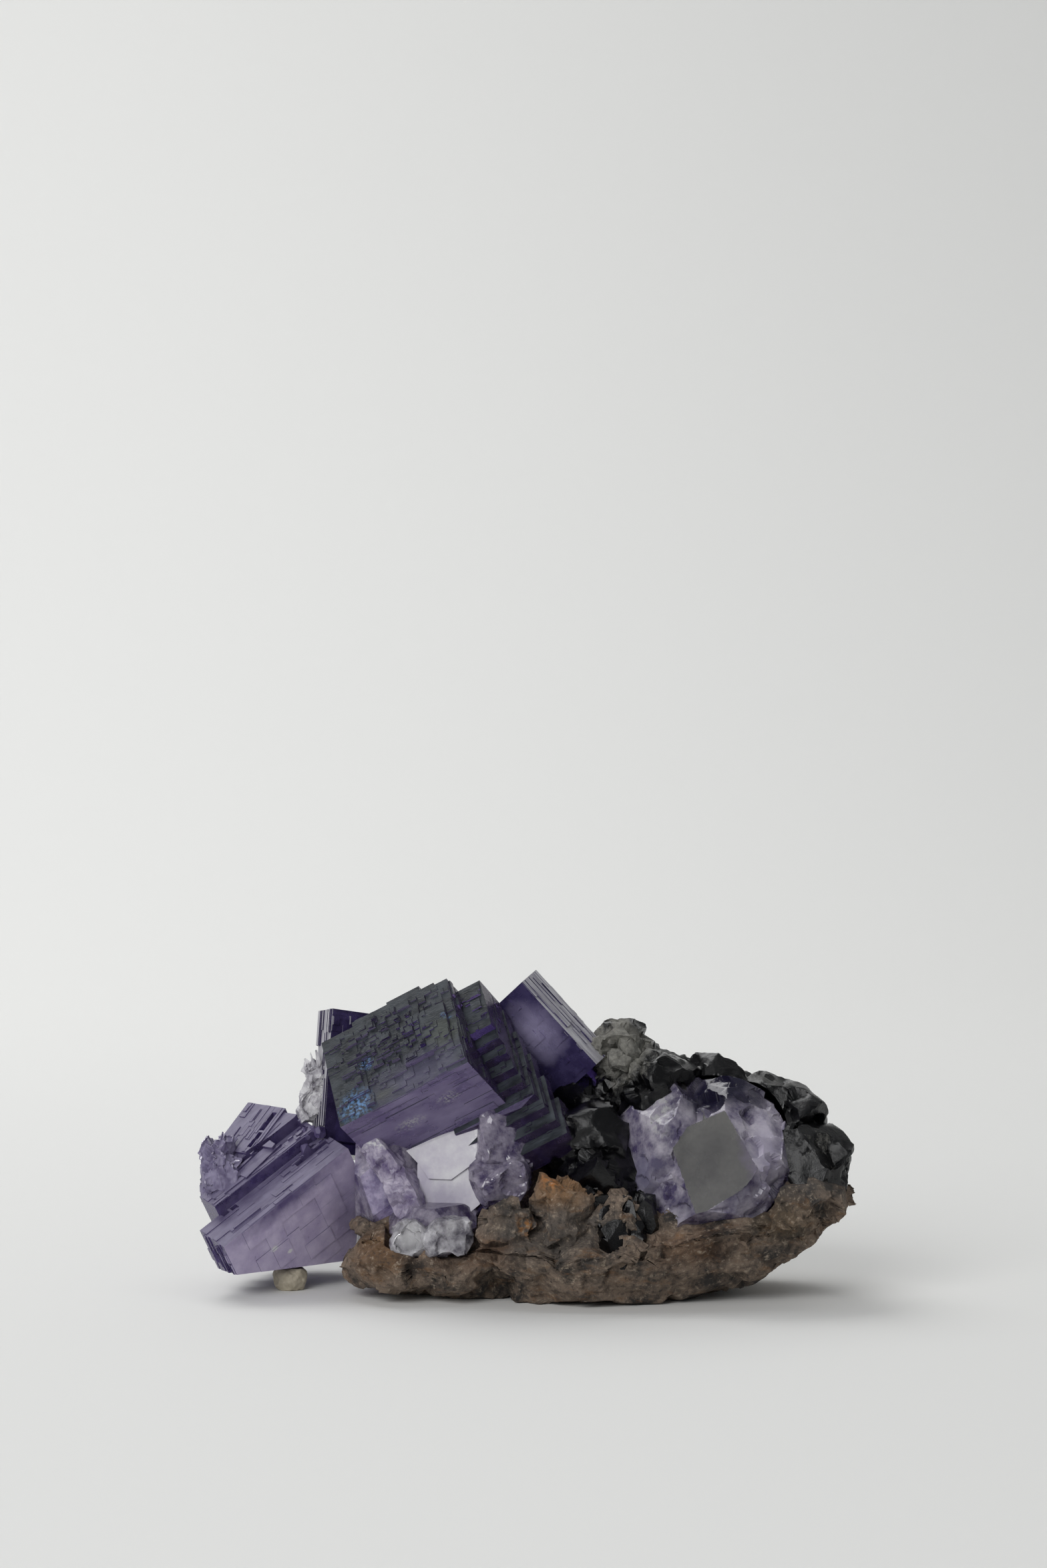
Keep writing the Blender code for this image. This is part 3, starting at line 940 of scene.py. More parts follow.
@dataclass(frozen=True)
class IronStainedRock:
    """Brown host rock, broken and stained by iron: a matt, gritty mix of dark grains and rust."""

    name: str = "iron_stained_host_rock"
    dark: str = "#2c2826"
    brown: str = "#7d6d5f"
    pale: str = "#b5a592"
    grit: float = 0.9
    relief: float = 0.3
    rust: str = "#7d5a38"
    streak: Triple = (0.45, 1.0, 1.5)
    stains: tuple[Patch, ...] = (
        Patch((4.0, -7.0, 11.0), (15.0, 8.0, 6.0), "#57514c", 0.8, 0.5),
        Patch((34.0, -6.0, 18.0), (16.0, 10.0, 4.0), "#4a4541", 0.8, 0.6),
        Patch((5.0, -6.0, 18.0), (6.5, 7.0, 4.4), "#94704c", 0.9, 0.7),
        Patch((-9.0, -9.0, 8.0), (9.0, 6.0, 4.0), "#6d4526", 0.5, 0.8),
        Patch((24.0, -10.0, 9.0), (9.0, 8.0, 4.0), "#6b4a2e", 0.5, 0.8),
        Patch((0.0, -9.0, 12.0), (2.0, 5.0, 1.8), "#b3762f", 0.7, 0.6, 0.8),
        Patch((4.0, -8.0, 19.0), (3.6, 5.0, 1.8), "#b06a24", 0.8, 0.6, 0.9),
        Patch((-22.0, -4.0, 8.0), (6.0, 8.0, 5.0), "#6f5134", 0.8, 0.7),
        Patch((38.0, -9.0, 13.0), (7.0, 8.0, 4.0), "#6b5a45", 0.6, 0.7),
    )

    def make(self) -> bpy.types.Material:
        """The finish as a material.

        Returns:
            The material.
        """
        material, tree, output = blank_material(self.name)
        place = add_node(tree, "ShaderNodeTexCoord").outputs["Object"]
        cloud = add_node(tree, "ShaderNodeTexNoise", {
            "Scale": per_mm(5.0), "Detail": 8.0, "Roughness": 0.65}, {"Vector": place})
        share = add_node(tree, "ShaderNodeMapRange", {"From Min": 0.40, "From Max": 0.54}, {
            "Value": cloud.outputs[0]})
        colour = add_node(tree, "ShaderNodeMix", {
            "data_type": "RGBA", MIX_A: linear(self.dark), MIX_B: linear(self.brown)}, {
            0: share.outputs[0]}).outputs[MIX_OUT]
        colour = paint(tree, place, colour, self.stains)
        aligned = add_node(tree, "ShaderNodeMapping", {"Scale": self.streak}, {"Vector": place})
        veins = add_node(tree, "ShaderNodeTexNoise", {
            "Scale": per_mm(2.4), "Detail": 7.0, "Roughness": 0.7}, {"Vector": aligned.outputs[0]})
        rusted = add_node(tree, "ShaderNodeMapRange", {
            "From Min": 0.54, "From Max": 0.68, "To Max": 0.6}, {"Value": veins.outputs[0]})
        colour = add_node(tree, "ShaderNodeMix", {
            "data_type": "RGBA", MIX_B: linear(self.rust)}, {
            0: rusted.outputs[0], MIX_A: colour}).outputs[MIX_OUT]
        grit = add_node(tree, "ShaderNodeTexNoise", {
            "Scale": per_mm(self.grit), "Detail": 6.0, "Roughness": 0.75}, {"Vector": place})
        flecks = add_node(tree, "ShaderNodeMapRange", {
            "From Min": 0.54, "From Max": 0.68, "To Max": 0.7}, {"Value": grit.outputs[0]})
        colour = add_node(tree, "ShaderNodeMix", {
            "data_type": "RGBA", MIX_B: linear(self.pale)}, {
            0: flecks.outputs[0], MIX_A: colour}).outputs[MIX_OUT]
        grains = add_node(tree, "ShaderNodeMapRange", {
            "From Min": 0.47, "From Max": 0.36, "To Max": 0.75}, {"Value": grit.outputs[0]})
        colour = add_node(tree, "ShaderNodeMix", {
            "data_type": "RGBA", MIX_B: linear(self.dark)}, {
            0: grains.outputs[0], MIX_A: colour}).outputs[MIX_OUT]
        bump = add_node(tree, "ShaderNodeBump", {"Distance": self.relief * MM}, {
            "Height": grit.outputs[0]})
        shader = add_node(tree, "ShaderNodeBsdfPrincipled", {"Roughness": 0.78}, {
            "Base Color": colour, "Normal": bump.outputs[0]})
        tree.links.new(shader.outputs[0], output.inputs["Surface"])
        return material


@dataclass(frozen=True)
class RolledPutty:
    """Display putty, rolled between fingers: beige and matt, darker and greyer in its creases."""

    name: str = "rolled_beige_putty"
    clean: str = "#c8bfab"
    # colour of the creases, darker and greyer
    dusty: str = "#958b78"
    crease: float = 1.1
    relief: float = 0.10

    def make(self) -> bpy.types.Material:
        """The finish as a material.

        Returns:
            The material.
        """
        material, tree, output = blank_material(self.name)
        place = add_node(tree, "ShaderNodeTexCoord").outputs["Object"]
        folds = add_node(tree, "ShaderNodeTexNoise", {
            "Scale": per_mm(self.crease), "Detail": 3.0, "Distortion": 1.4}, {"Vector": place})
        # darker and greyer where the folds' noise sinks, which is where the bump puts its creases
        colour = add_node(tree, "ShaderNodeMix", {
            "data_type": "RGBA", MIX_A: linear(self.dusty), MIX_B: linear(self.clean)}, {
            0: folds.outputs[0]})
        bump = add_node(tree, "ShaderNodeBump", {"Distance": self.relief * MM}, {
            "Height": folds.outputs[0]})
        shader = add_node(tree, "ShaderNodeBsdfPrincipled", {"Roughness": 0.7}, {
            "Base Color": colour.outputs[MIX_OUT], "Normal": bump.outputs[0]})
        tree.links.new(shader.outputs[0], output.inputs["Surface"])
        return material


@dataclass(frozen=True)
class MattCard:
    """Matt white card for the sweep: even and without gloss."""

    name: str = "matt_white_card"
    colour: str = "#e9e9e7"

    def make(self) -> bpy.types.Material:
        """The finish as a material.

        Returns:
            The material.
        """
        material, tree, output = blank_material(self.name)
        shader = add_node(tree, "ShaderNodeBsdfPrincipled", {
            "Base Color": linear(self.colour), "Roughness": 0.95, "Specular IOR Level": 0.1})
        tree.links.new(shader.outputs[0], output.inputs["Surface"])
        return material


# Etched growth faces of the centre crystal: slate satin, with a painted sheen at one corner: oily blue
# flecks that stand for light off tiny facets
STEPPED_FACE = Fluorite(
    "etched_slate_fluorite", "#454b52", "#22262b", 0.25, (0.28, 0.5), grain=0.45, relief=0.08,
    stretch=(0.6, 1.0, 1.4), patches=(
        Patch((-8.0, 0.0, -15.0), (12.0, 3.0, 5.0), "#6a6680", 0.7, 0.9),
        # painted sheen: blue flecks that stand for light off tiny facets at one corner
        Patch((-18.8, 0.0, -14.6), (3.8, 3.0, 3.2), "#78a8e0", 0.85, 0.8, 0.5),
        Patch((-15.6, 0.0, -8.3), (1.6, 3.0, 1.2), "#7aa3e0", 0.8, 0.7, 0.4),
        Patch((-1.4, 0.0, -7.3), (1.0, 3.0, 0.8), "#6f9fd8", 0.6, 0.7, 0.4),
        Patch((-2.4, 0.0, -10.2), (3.6, 3.0, 4.0), "#5a6153", 0.6, 0.9),
        Patch((-14.0, 0.0, -15.0), (3.0, 3.0, 1.4), "#565a4a", 0.5, 0.9),
    ))
# Unetched sides of the same crystal: clear, so that the deep purple inside shows
PURPLE_SIDE = Fluorite(
    "clear_purple_fluorite", "#9a86b8", "#6a5590", 0.84, (0.12, 0.32), grain=0.6, relief=0.05)
# Its foot: satin, with clusters of small white flecks
SATIN_SIDE = Fluorite(
    "satin_purple_fluorite", "#b8abd6", "#8c7db0", 0.52, (0.2, 0.4), mottle=3.4, grain=0.5,
    relief=0.04, stretch=(0.5, 1.0, 1.0), patches=(
        Patch((-13.3, 6.3, -17.0), (3.0, 1.6, 2.0), "#ffffff", 0.8, 0.9, 0.35),
        Patch((-6.0, 5.0, -17.0), (2.2, 1.6, 2.0), "#ffffff", 0.7, 0.9, 0.35),
    ))
# The back-right crystal's face: a deep purple rim round a pale lilac middle
ZONED_FACE = Fluorite(
    "zoned_purple_fluorite", "#5c5384", "#433a68", 0.5, (0.15, 0.35), mottle=2.6, grain=0.6,
    relief=0.04, patches=(
        Patch((-4.3, 0.0, -7.0), (5.4, 4.0, 6.4), "#dcd2ff", 0.95, 1.0),
    ))
# The back-left crystal's face: deep and clear
DEEP_FACE = Fluorite(
    "deep_purple_fluorite", "#564c78", "#3a3158", 0.55, (0.12, 0.3), grain=0.6, relief=0.04)
# Striated edges that catch the light grey
STRIATED_SIDE = Fluorite(
    "striated_grey_fluorite", "#d8d7dc", "#a29faa", 0.2, (0.3, 0.5), mottle=1.2, grain=0.5,
    relief=0.12, stretch=(2.0, 2.0, 0.25))
# The rough pale crust beside the back-left crystal
PALE_CRUST = Fluorite(
    "weathered_white_fluorite", "#e9e8ea", "#a9a6ae", 0.1, (0.4, 0.6), mottle=2.0, grain=0.6,
    relief=0.16, tint="#9a86c8", density=60.0, patches=(
        Patch((-33.4, 11.0, 36.0), (1.6, 3.0, 1.6), "#55524e", 0.8, 0.6, 0.7),
        Patch((-32.4, 11.0, 30.0), (1.0, 3.0, 2.6), "#6d6577", 0.7, 0.6, 0.7),
    ))
# Frosted growth faces of the left crystal: grey-purple and translucent
FROSTED_FACE = Fluorite(
    "frosted_purple_fluorite", "#9890b0", "#6c6288", 0.4, (0.35, 0.55), mottle=1.8, grain=0.3,
    relief=0.05, stretch=(0.35, 1.0, 1.5), density=120.0)
# The band's broad satin face: milky lilac, darker along its upper edge, with small white scars
FROSTED_FOOT = Fluorite(
    "satin_lilac_fluorite", "#e2d6f4", "#c2b4da", 0.28, (0.25, 0.45), mottle=3.4, grain=0.4,
    relief=0.03, density=120.0, patches=(
        Patch((12.0, 0.4, 0.0), (13.0, 2.6, 2.0), "#574a80", 0.9, 0.9),
        Patch((7.1, 6.3, 0.0), (0.8, 0.5, 1.0), "#ffffff", 0.9, 0.5),
        Patch((9.1, 8.5, 0.0), (0.6, 0.4, 1.0), "#ffffff", 0.9, 0.5),
        Patch((20.0, 9.0, 0.0), (4.0, 6.0, 2.0), "#9287ac", 0.7, 0.9),
    ))
# The left crystal's broken flank: the same grey-purple, glossier and rougher
FROSTED_CRUST = Fluorite(
    "frosted_broken_fluorite", "#a49cbc", "#786e92", 0.35, (0.3, 0.5), mottle=2.0, grain=0.5,
    relief=0.08, density=120.0)
# Walls of its grooves and steps: clearer, and painted darker as shade in the grooves, so that they read
# as dark lines
SHADED_GROOVE_WALL = Fluorite(
    "clear_shaded_groove_fluorite", "#8478a4", "#54467c", 0.5, (0.2, 0.4), density=120.0)
# Fresh cleavage: near-white where fine flaws under the surface scatter the light
CLEAVAGE = Fluorite(
    "white_cleavage_fluorite", "#dbdadd", "#bcb7c4", 0.06, (0.3, 0.5), mottle=4.0, grain=0.8,
    relief=0.05, tint="#9a86c8", density=60.0, patches=(
        Patch((-2.4, 0.0, -4.6), (5.4, 2.0, 3.4), "#9f98ad", 0.85, 0.8),
        Patch((2.6, 0.0, 4.6), (1.4, 2.0, 4.0), "#ffffff", 0.9, 0.8, 0.6),
        Patch((-5.4, 0.0, -1.6), (1.6, 2.0, 3.0), "#a79fb6", 0.7, 0.8),
    ))
# Broken lobes round the cleavage: glassy and half clear, with the crystal's purple inside
BROKEN = Fluorite(
    "broken_lilac_fluorite", "#efe6fa", "#6a5c8a", 0.62, (0.03, 0.14), mottle=2.6, grain=0.9,
    relief=0.12, tint="#8a70c0", density=110.0)
# Long torn fragments beside them: the same, paler, with a white edge
TORN = Fluorite(
    "torn_lilac_fluorite", "#e4daf0", "#7a6a96", 0.5, (0.04, 0.16), mottle=2.6, grain=0.7,
    relief=0.12, tint="#8f7cc0", density=90.0, patches=(
        Patch((-3.4, 0.0, 4.6), (4.6, 2.0, 1.2), "#ffffff", 0.9, 0.7, 0.6),
    ))
# Small fragments below: nearly colourless and bright, like broken ice
GLASSY_BIT = Fluorite(
    "clear_broken_fluorite", "#f2f0f5", "#6f6b76", 0.45, (0.03, 0.12), mottle=1.8, grain=0.8,
    relief=0.10, tint="#b9aed6", density=60.0, patches=(
        Patch((0.0, 0.0, 0.0), (3.0, 5.0, 3.2), "#ffffff", 0.8, 0.9),
        Patch((7.2, 0.0, 0.4), (4.0, 5.0, 3.2), "#5f5b66", 0.5, 0.9),
    ))
# The right crystal's flat cleavage: an even grey window, lilac towards its edges
WINDOW = Fluorite(
    "flat_cleaved_fluorite", "#a9a8a5", "#8f8e8e", 0.66, (0.06, 0.16), mottle=6.0, grain=0.8,
    relief=0.01, tint="#8f7cc0", density=70.0, patches=(
        Patch((12.5, -5.1, -3.0), (5.0, 3.0, 8.0), "#c4aee8", 0.9, 0.9),
        Patch((3.0, -5.1, 8.5), (9.0, 3.0, 4.5), "#8b80ac", 0.8, 0.9),
    ))
# Its curved fractures: glassy lilac, with painted shade where they look up into the crystal, white
# where splintered
CONCHOIDAL = Fluorite(
    "conchoidal_lilac_fluorite", "#f0e9f7", "#695f86", 0.52, (0.03, 0.14), mottle=3.2, grain=1.2,
    relief=0.07, tint="#8f7cc0", density=70.0, patches=(
        # painted shade: the dark inside of the crystal, as seen through its upper fractures
        Patch((4.5, -2.0, 9.5), (9.0, 12.0, 7.5), "#2e2b44", 1.0, 0.6),
        Patch((-8.0, -4.0, -3.0), (4.0, 8.0, 4.0), "#8a86a4", 0.9, 0.8),
        Patch((3.0, -4.0, -9.5), (12.0, 8.0, 3.0), "#55506f", 0.8, 0.8),
        Patch((-4.0, -6.0, 6.0), (2.8, 8.0, 7.0), "#ffffff", 0.9, 0.8, 0.9),
        Patch((11.0, -4.0, -2.0), (2.4, 8.0, 9.0), "#e4dcf2", 0.9, 0.8),
    ))


@dataclass
class CentreCrystal:
    """The large dark cube with its stepped face, and the staircase of plates on its right side."""

    stand: Stand = Stand((-12.2, 6.0, 47.5), (-42.2, -27.8, -12.0))
    width: float = 22.0
    depth: float = 22.0
    height: float = 17.0
    terraces: tuple[Triple, ...] = ((-16.6, -10.2, 1.1), (-10.4, -4.7, 1.5), (-5.0, -2.3, 0.7))
    plates: tuple[tuple[float, ...], ...] = (
        (-14.2, -5.2, -9.0, -0.9, 0.55),
        (-18.6, -12.0, -7.4, -2.1, 0.35),
        (-9.4, -1.2, -12.6, -4.6, 0.9),
        (-4.6, -0.1, -16.2, -10.4, 0.45),
        (-19.9, -16.0, -13.4, -6.0, 0.3),
    )
    setback: float = 3.7
    tread: float = 1.66
    steps: int = 9
    first_foot: float = 9.0
    drop: float = 1.8
    first_reach: float = 3.75
    shoulder: float = 9.7
    top_fall: float = 2.2
    side_gain: float = 0.38
    root: float = -9.0

    def coarse(self) -> Growth:
        """The crystal's main shapes.

        Returns:
            The growth.
        """
        growth = Growth(self.stand)
        growth.add((-self.width, 0.0, -self.height), (0.0, self.depth, 0.0))
        for left, right, rise in self.terraces:
            growth.add((left, 0.25, -3.0), (right, 15.0, rise))
        for left, right, foot, top, rise in self.plates:
            growth.add((left, -rise, foot), (right, 2.0, top))
        for step in range(self.steps):
            front = self.setback + step * self.tread
            back = front + self.tread + 0.4
            past = max(0.0, front - self.shoulder)
            if step == self.steps - 1:
                back = self.depth - 0.6
            foot = -self.first_foot - step * self.drop
            reach = self.first_reach + past * self.side_gain
            top = -past * self.top_fall - 0.03 * step
            growth.add((self.root, front, foot), (reach, back, top))
        return growth

    def build(self) -> bpy.types.Object:
        """The crystal with its fine growth steps.

        Returns:
            The dressed piece.
        """
        growth = self.coarse()
        w, d, h = self.width, self.depth, self.height
        for mosaic in (
                Mosaic(Side.FRONT, (-w + 0.3, -h + 0.3), (-0.2, -0.3), 70, (1.6, 5.0), (0.7, 2.6),
                       (0.06, 0.22), 1),
                Mosaic(Side.FRONT, (-17.5, -11.5), (-4.5, -1.2), 130, (0.5, 2.0), (0.4, 1.5),
                       (0.12, 0.42), 2),
                Mosaic(Side.FRONT, (-w + 0.6, -h + 0.5), (-0.4, -0.6), 90, (0.4, 1.6), (0.4, 1.4),
                       (0.08, 0.24), 3),
                Mosaic(Side.TOP, (-16.0, 0.4), (-2.6, 6.0), 18, (0.8, 2.6), (0.8, 3.0),
                       (0.05, 0.25), 4),
                Mosaic(Side.FOOT, (-w + 0.4, 0.2), (-0.2, 12.0), 22, (3.0, 9.0), (0.4, 2.4),
                       (0.03, 0.10), 5),
                Mosaic(Side.RIGHT, (0.3, -h + 0.5), (3.6, -0.6), 22, (0.4, 1.6), (1.0, 4.0),
                       (0.05, 0.25), 6),
                Mosaic(Side.FRONT, (0.3, -26.0), (4.8, -1.0), 60, (0.5, 2.6), (0.3, 1.8),
                       (0.05, 0.28), 7),
                Mosaic(Side.RIGHT, (4.0, -26.0), (21.0, -1.0), 60, (0.6, 3.0), (0.8, 5.0),
                       (0.04, 0.16), 8),
                Mosaic(Side.TOP, (-w + 0.4, 6.0), (-0.4, 21.0), 60, (0.8, 5.0), (0.6, 4.0),
                       (0.05, 0.25), 9),
                Mosaic(Side.BACK, (-w + 0.4, -h + 0.4), (-0.4, -0.4), 60, (0.8, 5.0), (0.6, 4.0),
                       (0.05, 0.25), 10)):
            growth.scatter(mosaic)
        piece = grow_together("fluorite_centre_crystal", growth.blocks)
        dress(piece, PURPLE_SIDE.make(self.stand), [
            (self.stand.outward(Side.FRONT), STEPPED_FACE.make(self.stand)),
            (self.stand.outward(Side.FOOT), SATIN_SIDE.make(self.stand))],
            self.stand, ((-self.width - 1.0, -1.0, -self.height - 1.0), (0.02, self.depth, 0.0)))
        return piece


@dataclass
class BackCube:
    """A cube behind the centre crystal, with steps down its back and growth plates on its sides."""

    name: str
    stand: Stand
    blocks: tuple[Corners, ...]
    mosaics: tuple[Mosaic, ...]
    finish: Fluorite
    ways: tuple[tuple[Side, Fluorite], ...]
    last_way: Corners = EVERYWHERE      # where the last of the ways counts

    def build(self) -> bpy.types.Object:
        """The crystal with its fine growth steps.

        Returns:
            The dressed piece.
        """
        growth = Growth(self.stand)
        for low, high in self.blocks:
            growth.add(low, high)
        for mosaic in self.mosaics:
            growth.scatter(mosaic)
        piece = grow_together(self.name, growth.blocks)
        rest = self.finish.make(self.stand)
        ways = [(self.stand.outward(side), finish.make(self.stand)) for side, finish in self.ways]
        dress(piece, rest, ways, self.stand, self.last_way)
        return piece


# Behind the centre crystal's left edge: deep purple, with a striated left side
BACK_LEFT = BackCube(
    "fluorite_back_left_crystal", Stand((-29.7, 14.0, 42.1), (-10.8, 10.2, 29.5)),
    blocks=(
        ((0.0, 0.0, -20.0), (14.0, 3.8, 0.0)),
        ((3.2, 3.4, -21.5), (13.0, 9.5, -1.0)),
    ),
    mosaics=(
        Mosaic(Side.LEFT, (0.2, -19.0), (3.6, -0.5), 16, (0.3, 1.2), (4.0, 14.0), (0.08, 0.35), 21),
        Mosaic(Side.FRONT, (0.4, -16.0), (8.0, -0.4), 14, (1.0, 4.0), (0.6, 3.0), (0.05, 0.2), 22),
        Mosaic(Side.BACK, (0.4, -19.0), (12.6, -0.4), 40, (1.0, 5.0), (0.5, 3.0), (0.06, 0.3), 23),
    ),
    finish=DEEP_FACE, ways=((Side.LEFT, STRIATED_SIDE),))
# Behind its right edge: a pale middle in a deep rim, and a striated strip along the front's right
BACK_RIGHT = BackCube(
    "fluorite_back_right_crystal", Stand((-0.9, 10.0, 46.5), (21.7, -37.9, -40.6)),
    blocks=(
        ((-14.0, 0.0, -16.8), (0.0, 5.0, 0.0)),
        ((-13.0, 4.0, -19.0), (-2.9, 9.0, -0.5)),
        ((-12.0, 8.0, -18.0), (-6.4, 13.0, -1.2)),
        ((-13.6, 1.4, -22.0), (-3.4, 9.5, -14.0)),
    ),
    mosaics=(
        Mosaic(Side.RIGHT, (0.1, -16.6), (4.9, -0.1), 26, (0.25, 1.1), (3.0, 14.0), (0.05, 0.25), 31),
        Mosaic(Side.FRONT, (-13.0, -16.5), (-0.1, -0.1), 30, (0.6, 3.0), (0.3, 1.6), (0.04, 0.16), 32),
        Mosaic(Side.BACK, (-13.6, -18.0), (-0.4, -0.4), 44, (0.8, 4.0), (0.5, 3.0), (0.06, 0.3), 33),
    ),
    finish=PURPLE_SIDE, ways=((Side.FRONT, ZONED_FACE), (Side.RIGHT, STRIATED_SIDE)),
    last_way=((-0.6, -1.0, -17.5), (0.6, 5.4, 0.6)))


@dataclass
class RoughFlank:
    """A rough crust of small broken crystals on the flank of a larger one."""

    name: str
    finish: Fluorite
    centre: Triple
    half: Triple
    turn: Triple
    seed: int

    def build(self) -> bpy.types.Object:
        """The crust as one piece.

        Returns:
            The dressed piece.
        """
        steps = Chips(160, (0.5, 2.4), (0.08, 0.35), 230 + self.seed, tilt=0.3, flat=True)
        lump = Lump(self.centre, self.half, turn=self.turn, seed=self.seed, squareness=2.8,
                    roughness=0.5, grain=2.4, detail=6, facets=34, facet_share=(0.80, 0.97),
                    chips=(steps,), relief=((0.3, 1.2), (0.12, 0.5)))
        piece = grow_together(self.name, [lump], crease=24.0)
        dress(piece, self.finish.make())
        return piece


# Pale crystals beside the back-left cube, and frosted ones at the left stack's end
PALE_FLANK = RoughFlank("fluorite_pale_flank", PALE_CRUST, (-32.0, 14.6, 29.6), (3.2, 4.4, 8.2),
                        (0.0, 8.0, 0.0), 11)
LEFT_FLANK = RoughFlank("fluorite_left_flank", FROSTED_CRUST, (-46.3, 8.0, 18.4), (3.4, 3.6, 8.6),
                        (-40.0, 0.0, 0.0), 15)


@dataclass(frozen=True)
class Fragment:
    """A broken piece of crystal with one fairly flat face to the front.

    Its middle is along its stand's own axes, and it leans in the plane of that face.
    """

    stand: Stand
    middle: Triple
    half: Triple
    lean: float
    seed: int
    flatness: float = 0.72      # how far forward the face is, as a share of the half depth

    def mesh(self, grow: float = 0.0) -> bmesh.types.BMesh:
        """The fragment's mesh.

        Args:
            grow: how many millimetres its surface is moved out.

        Returns:
            The mesh in millimetres, in the specimen's frame.
        """
        turned = self.stand.leaned(self.lean, self.middle)
        centre = tuple(self.stand.matrix() @ Vector(self.middle))
        face = (tuple(self.stand.outward(Side.FRONT)), self.half[1] * self.flatness)
        lump = Lump(centre, self.half, turn=turned.turn, seed=self.seed, fractures=(face,),
                    squareness=3.0, roughness=0.35, grain=3.5, detail=5, facets=22,
                    facet_share=(0.80, 0.98), relief=((0.05, 0.6),), chips=(
                        Chips(10, (2.0, 5.0), (0.12, 0.45), 310 + self.seed, tilt=0.15),
                        Chips(46, (0.5, 2.4), (0.04, 0.2), 330 + self.seed, tilt=0.2, flat=True)))
        return lump.mesh(grow)


@dataclass
class FrontCrystals:
    """The broken crystals in front of the centre one: a cleaved block and the lobes round it.

    The cleaved faces have a drawn outline, and the rest are fragments with a broken face each.
    """

    cleavage: Slab = Slab(
        Stand((-10.0, 1.5, 19.4), (-18.1, 0.0, -7.3)),
        ((-8.4, 2.5), (-0.3, 6.5), (2.8, 8.1), (3.8, 5.6), (6.0, 2.6), (6.9, 1.6), (6.6, -0.6),
         (3.3, -1.1), (3.1, -5.4), (1.4, -6.9), (-4.0, -7.7), (-6.4, -5.6), (-6.6, 0.7)),
        10.0, 0.8)
    pale_ledge: Slab = Slab(
        Stand((-10.0, 1.1, 19.4), (-18.1, 0.0, -7.3)),
        ((-7.6, 2.7), (-0.4, 5.9), (2.6, 7.0), (3.4, 5.4), (5.8, 2.4), (6.4, 1.4), (4.6, -0.2),
         (1.6, 0.6), (-1.4, -1.7), (-4.8, -1.6), (-5.8, -0.2)),
        3.0, 1.02)
    lobes: tuple[Fragment, ...] = (
        Fragment(Stand((-3.5, 0.0, 24.2), (-20.8, 0.0, 22.4)), (0.5, 3.4, -0.3), (4.0, 4.6, 5.4),
                 6.0, 21),
        Fragment(Stand((-3.5, -3.0, 17.1), (17.8, 0.0, 9.3)), (-0.2, 3.4, 0.0), (4.7, 4.4, 3.6),
                 15.0, 22),
        Fragment(Stand((-10.0, 1.5, 19.4), (-18.1, 0.0, -7.3)), (-7.4, 3.2, -2.6), (1.8, 3.4, 4.6),
                 -14.0, 23),
    )
    behind: tuple[Shard, ...] = (
        Shard((-12.4, 12.4, 18.6), (8.8, 8.0, 9.0), edges=2, seed=3, share=(0.66, 0.80)),
        Shard((-4.6, 8.0, 21.0), (5.4, 6.0, 6.0), seed=5),
        Shard((-21.2, 9.0, 16.6), (4.8, 7.0, 8.8), seed=12),
        Shard((-14.2, -0.6, 10.8), (6.6, 5.0, 3.6), seed=14),
    )

    def torn_edges(self) -> list[Shard]:
        """Small shards along the cleavage's torn edge.

        Returns:
            The shards.
        """
        draw = random.Random(700)
        place = self.cleavage.stand.matrix()
        made = []
        for x, z in self.cleavage.outline:
            for _ in range(2):
                half = draw.uniform(0.4, 1.3)
                middle = place @ Vector((x + draw.uniform(-1.0, 1.0), half * draw.uniform(0.7, 2.0),
                                         z + draw.uniform(-1.0, 1.0)))
                made.append(Shard(tuple(middle), (half, half * draw.uniform(0.7, 1.6), half * 0.6),
                                  turn=any_turn(draw), seed=800 + len(made)))
        return made

    def build(self) -> bpy.types.Object:
        """The cleaved crystal and its lobes as one piece.

        Returns:
            The dressed piece.
        """
        bodies = [*self.behind, self.cleavage, self.pale_ledge, *self.lobes, *self.torn_edges()]
        piece = grow_together("fluorite_front_cleaved_crystals", bodies, crease=18.0)
        dress(piece, BROKEN.make(), [
            (self.cleavage.stand.outward(Side.FRONT), CLEAVAGE.make(self.cleavage.stand))])
        return piece


@dataclass
class BrokenFragments:
    """Fragments of one finish beside the cleaved crystal."""

    name: str
    finish: Fluorite
    fragments: tuple[Fragment, ...]

    def build(self) -> bpy.types.Object:
        """The fragments as one piece.

        Returns:
            The dressed piece.
        """
        piece = grow_together(self.name, list(self.fragments), crease=18.0)
        dress(piece, self.finish.make(self.fragments[0].stand))
        return piece


# Two long torn fragments to the left of the cleavage, and two glassy ones below it
WING_STAND = Stand((-20.4, -1.0, 18.8), (-11.9, 0.0, -18.4))
WING = BrokenFragments("fluorite_front_wing", TORN, (
    Fragment(WING_STAND, (-2.8, 3.0, 2.8), (2.5, 4.2, 6.0), 44.0, 7),
    Fragment(WING_STAND, (1.6, 3.0, -3.0), (2.6, 4.2, 5.4), 32.0, 8),
))
BITS = BrokenFragments("fluorite_front_bits", GLASSY_BIT, (
    Fragment(Stand((-17.6, -6.5, 10.1), (-11.6, 0.0, -11.9)), (0.0, 2.2, -0.2), (3.2, 3.0, 3.2),
             10.0, 25),
    Fragment(Stand((-10.9, -7.0, 10.5), (-11.6, 0.0, 5.9)), (-0.4, 2.2, 0.0), (4.3, 3.0, 3.3),
             8.0, 26),
))


